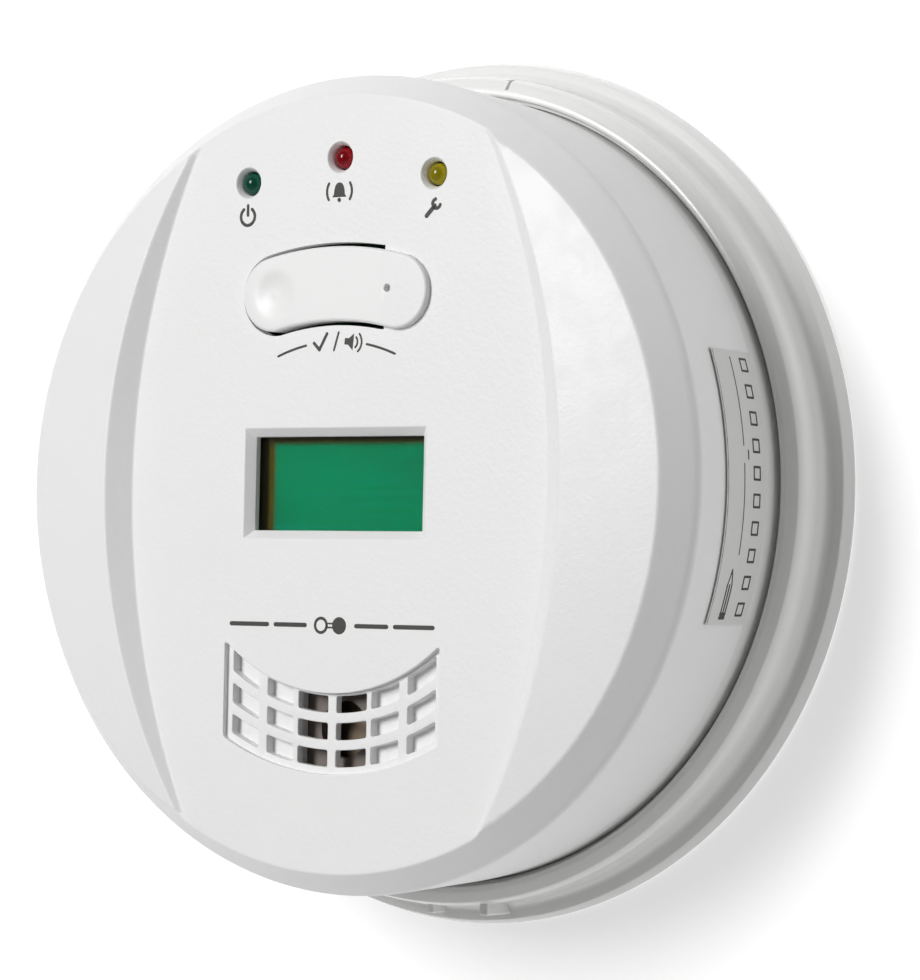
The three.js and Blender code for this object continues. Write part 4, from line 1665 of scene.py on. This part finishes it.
@dataclass(frozen=True)
class Display:
    """The display behind its clear window."""

    frame: Frame
    effects: Effects
    lens: float = 1.0
    glass: float = 2.6
    lens_finish: GlassFinish = GlassFinish("clear_window_plastic", (0.95, 0.99, 0.97))
    glass_finish: DisplayFinish = DisplayFinish("green_display", (0.0, 0.135, 0.055), 0.08, drift=0.15,
                                                gloss_drift=0.03, specular=0.12)

    def build(self) -> list[bpy.types.Object]:
        """Builds the window and the display glass.

        Returns:
            The two finished pieces.
        """
        half_x, half_z = self.frame.lens_half
        outline = rounded_box(2 * half_x, 2 * half_z, 0.8)
        front = self.frame.lens_front
        window = slab("display_window", outline, front - self.lens, front, 0.12)
        behind = front - self.lens - FIT
        glass = slab("display_glass_panel", outline, behind - self.glass, behind, 0.1)
        clear = self.lens_finish.material(self.effects)
        green = self.glass_finish.material(self.effects)
        return [
            fitted(window, Body.ALARM, Slot.WINDOW, clear, "lcd_window"),
            fitted(glass, Body.ALARM, Slot.DISPLAY, green, "lcd_panel"),
        ]


@dataclass(frozen=True)
class Lamp:
    """One indicator: a domed lens with a flange and two legs."""

    frame: Frame
    effects: Effects
    kind: str
    slot: Slot
    tint: tuple[float, float, float]
    # colour of the painted light round the lens's rim
    glow: tuple[float, float, float]
    radius: float = 1.5
    flange: float = 0.4
    flange_height: float = 1.0
    body: float = 2.8
    leg: float = 0.5
    leg_place: float = 0.635

    def build(self) -> bpy.types.Object:
        """Builds the lamp and gives it to its body.

        Returns:
            The finished lamp.
        """
        x, z = self.frame.indicators[self.kind]
        tip = self.frame.indicator_tip
        shoulder = tip - self.radius
        flange = shoulder - self.body
        wide = self.radius + self.flange
        foot = flange - self.flange_height
        section = [(0.02, foot), (wide - 0.1, foot), (wide, foot + 0.1), (wide, flange - 0.1),
                   (wide - 0.1, flange), (self.radius, flange)]
        for turn in spread(0, 88, 14):
            angle = math.radians(turn)
            section.append((self.radius * math.cos(angle), shoulder + self.radius * math.sin(angle)))
        shell = Shell()
        rings = shell.turned(section, x, z, 48)
        shell.cap(rings[0])
        shell.cap(rings[-1])
        parts = [shell.piece("lens", 40)]
        for side in (-self.leg_place, self.leg_place):
            leg = rounded_box(self.leg, self.leg, 0.08).shifted(x + side, z)
            parts.append(slab("leg", leg, self.frame.board_front + FIT, foot + 0.2, 0.05))
        piece = merged(f"indicator_{self.kind}", parts, 40)
        finish = LampFinish(f"{self.kind}_lens", self.tint, 0.1, drift=0.05, gloss_drift=0.02,
                            specular=0.35, tip=(x, -tip, z), radius=self.radius, glow=self.glow)
        return fitted(piece, Body.ALARM, self.slot, finish.material(self.effects), f"led_{self.kind}")


# ---------------------------------------------------------------- printed marks


@dataclass
class Print:
    """Thin ink shapes that follow a surface."""

    name: str
    place: Placing
    depth: float = 0.0
    thickness: float = 0.03
    shapes: list[Outline] = field(default_factory=list)

    def fill(self, outline: Outline) -> None:
        """Adds a filled shape."""
        self.shapes.append(outline)

    def line(self, path: Sequence[Vector], width: float, closed: bool = False) -> None:
        """Adds a line of even width with round ends.

        Args:
            path: the line's points.
            width: how wide it is.
            closed: True if it runs back to its first point.
        """
        if closed:
            path = [*path, path[0]]
        half = width / 2
        for start, end in zip(path, path[1:]):
            along = (end - start).normalized() * half
            out = Vector((along.y, -along.x))
            turn = math.degrees(math.atan2(along.y, along.x))
            cap = arc(end, half, turn - 90, turn + 90, 6)
            tail = arc(start, half, turn + 90, turn + 270, 6)
            self.shapes.append(Outline([start + out, *cap, *tail]))

    def stamp(self, mark: Print, x: float, z: float, size: float) -> None:
        """Adds another print's shapes, drawn round the middle.

        Args:
            mark: the print with the shapes.
            x: where their middle goes, across.
            z: where it goes, up.
            size: how many times as large they become.
        """
        for shape in mark.shapes:
            self.shapes.append(Outline([point * size for point in shape.points]).shifted(x, z))

    def piece(self) -> bpy.types.Object:
        """Makes the ink, as thin closed plates at slightly different heights.

        Returns:
            The ink as one object.
        """
        shell = Shell(self.place)
        for index, shape in enumerate(self.shapes):
            lift = self.depth + self.thickness + 0.0004 * (index % 9)
            loops = shell.wall(shape, [(0, self.depth), (0, lift)])
            shell.cap(loops[0])
            shell.cap(loops[1])
        return shell.piece(self.name)


@dataclass(frozen=True)
class PanelMarks:
    """Pictograms printed on the front panel, in place of words."""

    frame: Frame
    effects: Effects
    panel: float
    caption_drop: float = 4.75
    size: float = 1.3
    bow: float = 27.5
    bow_top: float = 19.7
    rule_height: float = -19.7
    sunk: float = 0.02  # how far the ink reaches into the plastic
    finish: Finish = Finish("grey_ink", (0.06, 0.06, 0.054), 0.5, drift=0.12, grain=0.002, scale=2500,
                            specular=0.3)

    def power(self, ink: Print) -> None:
        """Draws an open ring with an upright bar."""
        ink.line(arc(MIDDLE, 0.95, 125, 415, 22), 0.36)
        ink.line([Vector((0, 0.15)), Vector((0, 1.2))], 0.36)

    def bell(self, ink: Print) -> None:
        """Draws a small bell with its clapper and two sound arcs.

        Args:
            ink: the print it is drawn in.
        """
        flank = bend(Vector((0.72, -0.3)), Vector((0.66, 0.85)), Vector((0.12, 0.95)), 8)
        side = [Vector((0.95, -0.62)), *flank]
        left = [Vector((-p.x, p.y)) for p in reversed(side)]
        ink.fill(Outline([*side, *left]))
        ink.fill(circle(0, -0.92, 0.24, 14))
        for middle in (0, 180):
            ink.line(arc(MIDDLE, 1.65, middle - 32, middle + 32, 8), 0.3)

    def spanner(self, ink: Print) -> None:
        """Draws a spanner that leans to the right.

        Args:
            ink: the print it is drawn in.
        """
        lean = Vector((1, 1)).normalized()
        head = 0.62 * lean
        ink.line([-1.15 * lean, head - 0.3 * lean], 0.5)
        ink.line(arc(head, 0.5, 105, 345, 14), 0.38)

    def press(self, ink: Print) -> None:
        """Draws a tick, a stroke and a loudspeaker along the arc under the button.

        Args:
            ink: the print they are drawn in.
        """
        bow = self.bow
        hub = Vector((0, self.bow_top - bow))

        def on_arc(turn: float, lift: float = 0.0, along: float = 0.0) -> Vector:
            """Finds a place near the arc.

            Args:
                turn: degrees to the right of the middle.
                lift: how far outside the arc.
                along: how far further to the right.

            Returns:
                The place, as x and z.
            """
            angle = math.radians(90 - turn)
            out = Vector((math.cos(angle), math.sin(angle)))
            across = Vector((out.y, -out.x))
            return hub + out * (bow + self.size * lift) + across * self.size * along

        for start, end in ((-21.5, -11), (11, 21.5)):
            ink.line([on_arc(turn) for turn in spread(start, end, 10)], 0.34)
        ink.line([on_arc(-6, 0.05, -0.75), on_arc(-6, -0.75, -0.1), on_arc(-6, 0.85, 1.05)], 0.46)
        ink.line([on_arc(0, -0.95, -0.3), on_arc(0, 0.95, 0.3)], 0.32)
        cone = ((-1.1, -0.35), (-0.6, -0.35), (0.05, -0.9), (0.05, 0.9), (-0.6, 0.35), (-1.1, 0.35))
        ink.fill(Outline([on_arc(6, lift, along) for along, lift in cone]))
        for reach in (0.75, 1.3):
            angles = spread(-0.8, 0.8, 6)
            wave = [on_arc(6, reach * math.sin(a), reach * math.cos(a) - 0.15) for a in angles]
            ink.line(wave, 0.3)

    def gas(self, ink: Print) -> None:
        """Draws a two-atom molecule between two pairs of rules.

        Args:
            ink: the print it is drawn in.
        """
        ink.line(circle(-1.65, 0, 1.0, 28).points, 0.42, closed=True)
        ink.fill(circle(1.5, 0, 1.2, 32))
        for lift in (-0.28, 0.28):
            ink.line([Vector((-0.6, lift)), Vector((0.5, lift))], 0.24)
        for side in (-1, 1):
            for start, end in ((4.4, 9.6), (11.0, 17.4)):
                ink.line([Vector((side * start, 0)), Vector((side * end, 0))], 0.62)

    def build(self) -> bpy.types.Object:
        """Builds every mark on the panel as one piece of ink.

        Returns:
            The finished ink.
        """
        ink = Print("panel_pictograms", facing_front, self.panel - self.sunk, 0.035)
        draw = {"power": self.power, "alarm": self.bell, "fault": self.spanner}
        for kind, (x, z) in self.frame.indicators.items():
            mark = Print(kind, facing_front)
            draw[kind](mark)
            ink.stamp(mark, x, z - self.caption_drop, self.size)
        self.press(ink)
        rules = Print("rules", facing_front)
        self.gas(rules)
        ink.stamp(rules, 0, self.rule_height, 1)
        return fitted(ink.piece(), Body.ALARM, Slot.BLACK, self.finish.material(self.effects))


@dataclass(frozen=True)
class DateLabel:
    """The paper label round the right-hand side of the skirt."""

    frame: Frame
    effects: Effects
    cover: FrontCover
    half_angle: float = 18.9
    thickness: float = 0.12
    lift: float = 0.14
    sunk: float = 0.01  # how far the ink reaches into the paper
    rule_depth: float = 20.2
    dash_depth: float = 19.0
    pencil_depth: float = 21.2
    pencil_half: float = 0.6
    box_count: int = 10
    box_start: float = 17.0  # degrees up to the first box
    box_pitch: float = 3.75
    box_depth: float = 16.7
    box_half: float = 0.85
    paper: Finish = Finish("label_paper", (0.68, 0.68, 0.665), 0.55, grain=0.006, scale=2600,
                           drift=0.03)
    ink: Finish = Finish("label_ink", (0.03, 0.03, 0.03), 0.5, drift=0.2)

    def on_skirt(self, along: float, across: float, lift: float) -> Vector:
        """Puts a flat place on the skirt.

        Args:
            along: distance up the label from its middle.
            across: depth.
            lift: height above the skirt.

        Returns:
            The place in space.
        """
        rear, rim = self.cover.rear_radius, self.frame.rim_radius
        nose = self.cover.face_depth - self.cover.rim_drop - 1.9
        skirt = rear + (rim - rear) * (across - self.cover.parting) / (nose - self.cover.parting)
        angle = along / rim
        return Vector(((skirt + lift) * math.cos(angle), -across, (skirt + lift) * math.sin(angle)))

    def sheet(self) -> bpy.types.Object:
        """Makes the paper, bent round the skirt.

        Returns:
            The sheet, closed all round.
        """
        low, high = self.frame.label_depths
        length = 2 * math.radians(self.half_angle) * self.frame.rim_radius
        grid = [spread(-length / 2, length / 2, 60), spread(low, high, 10)]
        shell = Shell(self.on_skirt)
        steps = len(grid[1])
        for lift in (self.lift, self.lift + self.thickness):
            shell.points += [self.on_skirt(along, across, lift) for along in grid[0] for across in grid[1]]
        layer = len(grid[0]) * steps
        for start in (0, layer):
            for i in range(len(grid[0]) - 1):
                for j in range(steps - 1):
                    corner = start + i * steps + j
                    shell.faces.append((corner, corner + 1, corner + steps + 1, corner + steps))
        rim = [i * steps for i in range(len(grid[0]))]
        rim += [layer - steps + j for j in range(1, steps)]
        rim += [i * steps + steps - 1 for i in reversed(range(len(grid[0]) - 1))]
        rim += list(reversed(range(1, steps - 1)))
        shell.strip(rim, [number + layer for number in rim])
        return shell.piece("date_label_sheet")

    def at(self, angle: float, depth: float) -> Vector:
        """Returns a flat place on the label; the angle is in degrees up from its middle."""
        return Vector((math.radians(angle) * self.frame.rim_radius, depth))

    def marks(self) -> bpy.types.Object:
        """Draws rules to write on, a dash, a pencil and a row of tick boxes.

        Returns:
            The ink.
        """
        top = self.lift + self.thickness
        ink = Print("date_label_marks", self.on_skirt, top - self.sunk, 0.035)
        front = self.frame.label_depths[1] - 0.3
        for start, end, depth, width in (
            (18.6, -18.6, front, 0.1),
            (17.9, 5.7, self.rule_depth, 0.2),
            (3.2, -9.1, self.rule_depth, 0.2),
            (5.0, 3.9, self.dash_depth, 0.28),
        ):
            ink.line([self.at(angle, depth) for angle in spread(start, end, 12)], width)
        self.pencil(ink)
        half = self.box_half
        for number in range(self.box_count):
            angle = self.box_start - number * self.box_pitch
            corners = [self.at(angle + turn * half, self.box_depth + across * half)
                       for turn, across in ((-1, -1), (-1, 1), (1, 1), (1, -1))]
            ink.line(corners, 0.32, closed=True)
        return ink.piece()

    def pencil(self, ink: Print) -> None:
        """Draws a pencil that lies along the label with its point towards the rules.

        Args:
            ink: the print it is drawn in.
        """
        at, middle, half = self.at, self.pencil_depth, self.pencil_half
        for across in (-half, 0.0, half):
            ink.line([at(angle, middle + across) for angle in spread(-13.3, -17.3, 6)], 0.3)
        for angle in (-17.4, -17.9):
            ink.line([at(angle, middle - half), at(angle, middle + half)], 0.5)
        ink.line([at(-13.3, middle + half), at(-11.2, middle), at(-13.3, middle - half)], 0.26)
        ink.fill(Outline([at(-11.9, middle + 0.32), at(-11.9, middle - 0.32), at(-11.0, middle)]))

    def build(self) -> list[bpy.types.Object]:
        """Builds the label and its ink.

        Returns:
            The two finished pieces.
        """
        paper = self.paper.material(self.effects)
        ink = self.ink.material(self.effects)
        return [
            fitted(self.sheet(), Body.ALARM, Slot.PAPER, paper, "date_label"),
            fitted(self.marks(), Body.ALARM, Slot.BLACK, ink),
        ]


# ---------------------------------------------------------------- pieces that keep their CAD shape


@dataclass(frozen=True)
class Inside:
    """Finishes for the board, the batteries and the other pieces behind the cover."""

    effects: Effects
    finishes: tuple[tuple[Finish, tuple[str, ...]], ...] = (
        (BoardFinish("solder_mask", (0.02, 0.13, 0.05), 0.35, grain=0.01, scale=900),
         ("circuit_board",)),
        (Finish("moulded_black", (0.022, 0.022, 0.024), 0.42, grain=0.012, scale=1800, drift=0.2),
         ("microcontroller", "boost_inductor", "sounder_coil", "switch_body", "switch_plunger")),
        (Finish("moulded_dark_brown", (0.21, 0.175, 0.155), 0.5, grain=0.012, scale=1500, drift=0.2),
         ("lcd_frame", "sounder_chamber")),
        (Finish("light_guide", (0.5, 0.85, 0.65), 0.35, drift=0.04), ("lcd_backlight",)),
        (Finish("layered_rubber", (0.05, 0.05, 0.05), 0.8, grain=0.02, scale=3000, drift=0.3),
         ("lcd_connector_upper", "lcd_connector_lower")),
        (Finish("natural_nylon", (0.72, 0.72, 0.69), 0.5, grain=0.01, scale=1500, subsurface=0.1),
         ("led_spacer_power", "led_spacer_alarm", "led_spacer_fault")),
        (Finish("nickel_plate", (0.62, 0.61, 0.58), 0.28, 1.0, grain=0.004, scale=2600, drift=0.08,
                gloss_drift=0.12),
         ("co_sensor", "clock_crystal", "contact_positive", "contact_negative", "contact_bridge_left",
          "contact_bridge_right", "board_screw_1", "board_screw_2", "board_screw_3", "housing_screw_1",
          "housing_screw_2", "housing_screw_3", "housing_screw_4")),
        (Finish("rolled_brass", (0.3, 0.235, 0.17), 0.45, 1.0, grain=0.004, scale=2200, drift=0.12),
         ("piezo_disc",)),
        (Finish("white_felt", (0.8, 0.8, 0.78), 0.95, grain=0.12, scale=2400, coarse=1.2),
         ("sensor_filter",)),
        (Finish("shrink_sleeve", (0.03, 0.05, 0.2), 0.35, grain=0.006, scale=1200, coat=0.3),
         ("capacitor_1", "capacitor_2")),
        (CellFinish("cell_jacket", (0.16, 0.17, 0.18), 0.3, 0.4, grain=0.003, scale=900, coat=0.4),
         ("battery_1", "battery_2", "battery_3")),
    )

    def build(self, nodes: dict[str, bpy.types.Object]) -> None:
        """Gives each inner node its material.

        Args:
            nodes: the CAD nodes by name.
        """
        for finish, names in self.finishes:
            material = finish.material(self.effects)
            for name in names:
                for slot in nodes[name].material_slots:
                    slot.material = material
                log.info("%s: %s", name, finish.name)


# ---------------------------------------------------------------- studio


@dataclass(frozen=True)
class Softbox:
    """One rectangular lamp aimed at the detector."""

    name: str
    place: tuple[float, float, float]
    size: tuple[float, float]
    power: float
    aim: tuple[float, float, float] = (0, -0.02, 0)
    colour: tuple[float, float, float] = (1, 1, 1)

    def build(self) -> bpy.types.Object:
        """Makes the lamp, turned towards its aim.

        Returns:
            The lamp.
        """
        light = bpy.data.lights.new(self.name, "AREA")
        light.shape = "RECTANGLE"
        light.size, light.size_y = self.size
        light.energy = self.power
        light.color = self.colour
        lamp = bpy.data.objects.new(self.name, light)
        bpy.context.scene.collection.objects.link(lamp)
        lamp.location = self.place
        lamp.visible_camera = False
        towards = Vector(self.aim) - Vector(self.place)
        lamp.rotation_euler = towards.to_track_quat("-Z", "Y").to_euler()
        return lamp


@dataclass(frozen=True)
class Camera:
    """A long lens to the right of the detector, a little below its middle."""

    azimuth: float = 35.06
    elevation: float = -1.62
    roll: float = 1.15
    distance: float = 571.5
    lens: float = 151.7
    aim: tuple[float, float, float] = (14.64, -26.2, -0.59)

    def build(self) -> bpy.types.Object:
        """Makes the camera and sets it as the scene's own.

        Returns:
            The camera.
        """
        around, up = math.radians(self.azimuth), math.radians(self.elevation)
        level = math.cos(up)
        back = Vector((math.sin(around) * level, -math.cos(around) * level, math.sin(up)))
        data = bpy.data.cameras.new("camera")
        data.lens = self.lens
        data.sensor_width = 36
        data.clip_start = 0.05
        camera = bpy.data.objects.new("camera", data)
        bpy.context.scene.collection.objects.link(camera)
        upright = back.to_track_quat("Z", "Y").to_matrix()
        roll = Matrix.Rotation(math.radians(self.roll), 3, "Z")
        camera.rotation_euler = (upright @ roll).to_euler()
        camera.location = (Vector(self.aim) + back * self.distance) * MM
        bpy.context.scene.camera = camera
        return camera


@dataclass(frozen=True)
class Studio:
    """The white wall, the pale floor and the lamps."""

    wall_gap: float = 0.4
    floor_drop: float = 800
    reach: float = 4000
    sky: tuple[float, float] = (0.07, 0.2)
    wall_tone: float = 0.64
    wall_glow: float = 0.5
    floor_tone: float = 0.5
    floor_veil: float = 0.75
    lamps: tuple[Softbox, ...] = (
        Softbox("key_softbox", (-0.42, -1.16, 0.44), (0.5, 0.6), 7.6),
        Softbox("sheen_softbox", (-0.36, -1.1, 0.34), (0.24, 0.5), 5.2),
        Softbox("edge_softbox", (0.97, -0.13, -0.7), (0.05, 0.25), 0.35),
    )

    def plane(self, name: str, corners: Sequence[tuple[float, float, float]], tone: float,
              glow: float = 0.0, pale: float = 0.0) -> bpy.types.Object:
        """Makes a backdrop.

        Args:
            name: the object's name.
            corners: its corners in millimetres, anticlockwise as seen from its front.
            tone: how pale it is, from 0 to 1.
            glow: how much light it gives off; one that glows can't be seen from behind.
            pale: how much paler it looks than the light it throws back.

        Returns:
            The new object, marked as staging.
        """
        mesh = bpy.data.meshes.new(name)
        mesh.from_pydata([tuple(c * MM for c in corner) for corner in corners], [], [(0, 1, 2, 3)])
        plane = bpy.data.objects.new(name, mesh)
        bpy.context.scene.collection.objects.link(plane)
        material = bpy.data.materials.new(name)
        material.use_nodes = True
        tree = Tree(material.node_tree)
        nodes = material.node_tree.nodes
        shader = nodes["Principled BSDF"]
        shader.inputs["Base Color"].default_value = (tone, tone, tone, 1)
        shader.inputs["Roughness"].default_value = 0.9
        shader.inputs["Specular IOR Level"].default_value = 0.1
        if glow:
            shader.inputs["Emission Color"].default_value = (1, 1, 1, 1)
            shader.inputs["Emission Strength"].default_value = glow
            mix = nodes.new("ShaderNodeMixShader")
            tree.feed(mix.inputs[0], tree.add("NewGeometry").outputs["Backfacing"])
            tree.feed(mix.inputs[1], shader.outputs[0])
            tree.feed(mix.inputs[2], tree.add("BsdfTransparent").outputs[0])
            tree.feed(nodes["Material Output"].inputs["Surface"], mix.outputs[0])
        if pale:
            lift = tree.add("MixShader")
            veil = tree.add("Emission", Color=SURROUND_COLOUR)
            seen = tree.add("LightPath").outputs["Is Camera Ray"]
            tree.feed(lift.inputs[0], tree.maths("MULTIPLY", seen, pale))
            tree.feed(lift.inputs[1], shader.outputs[0])
            tree.feed(lift.inputs[2], veil.outputs[0])
            tree.feed(nodes["Material Output"].inputs["Surface"], lift.outputs[0])
        mesh.materials.append(material)
        return plane

    def surround(self) -> None:
        """Builds the soft light from all round, stronger from above, and its pale backdrop."""
        world = bpy.data.worlds.new("studio")
        bpy.context.scene.world = world
        world.use_nodes = True
        tree = Tree(world.node_tree)
        nodes = world.node_tree.nodes
        split = tree.add("SeparateXYZ", Vector=tree.add("TexCoord").outputs["Generated"])
        height = tree.ramp(split.outputs["Z"], -0.6, 0.6)
        low, high = ((tone, tone, tone, 1) for tone in self.sky)
        tree.feed(nodes["Background"].inputs["Color"], tree.blend(height, low, high))
        pale = tree.add("Background", Color=SURROUND_COLOUR)
        mix = nodes.new("ShaderNodeMixShader")
        tree.feed(mix.inputs[0], tree.add("LightPath").outputs["Is Camera Ray"])
        tree.feed(mix.inputs[1], nodes["Background"].outputs[0])
        tree.feed(mix.inputs[2], pale.outputs[0])
        tree.feed(nodes["World Output"].inputs["Surface"], mix.outputs[0])

    def build(self) -> None:
        """Builds the backdrops, the lamps and the surroundings."""
        far, drop, gap = self.reach, -self.floor_drop, self.wall_gap
        wall = [(-far, gap, drop), (far, gap, drop), (far, gap, far), (-far, gap, far)]
        self.plane("white_wall", wall, self.wall_tone, self.wall_glow)
        floor = [(-far, -far, drop), (far, -far, drop), (far, far, drop), (-far, far, drop)]
        self.plane("pale_floor", floor, self.floor_tone, pale=self.floor_veil)
        for lamp in self.lamps:
            lamp.build()
        self.surround()
        bpy.context.scene.view_settings.view_transform = "Standard"


# ---------------------------------------------------------------- the whole detector


def main() -> None:
    """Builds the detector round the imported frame, in order, and reports each piece."""
    for old in list(bpy.data.objects):
        bpy.data.objects.remove(old)
    frame_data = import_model()
    Camera().build()
    frame = Frame.read()
    effects = Effects.build()
    white = Finish("textured_white", (0.83, 0.83, 0.828), 0.4, grain=0.026, scale=3000, coarse=0.7,
                   drift=0.012, dust=0.04)
    housing = Finish("housing_white", (0.8, 0.8, 0.79), 0.45, grain=0.012, scale=1900, drift=0.02,
                     dust=0.05)
    button = TestButton(frame, effects)
    cover = FrontCover(frame, effects, button, white)
    WallPlate(frame, effects).build()
    RearHousing(frame, effects, housing).build()
    cover.build()
    button.build()
    Display(frame, effects).build()
    # each lamp's tint, and the colour of the painted light round its lens's rim
    for kind, slot, tint, glow in (
        ("power", Slot.GREEN, (0.0, 0.05, 0.03), (0.0, 0.1, 0.055)),
        ("alarm", Slot.RED, (0.17, 0.0, 0.003), (0.34, 0.0, 0.006)),
        ("fault", Slot.YELLOW, (0.2, 0.165, 0.0), (0.4, 0.33, 0.0)),
    ):
        Lamp(frame, effects, kind, slot, tint, glow).build()
    PanelMarks(frame, effects, cover.panel).build()
    DateLabel(frame, effects, cover).build()
    Inside(effects).build(frame_data["nodes"])
    Studio().build()


if __name__ == "__main__":
    logging.basicConfig(level=logging.INFO, format="%(message)s")
    main()
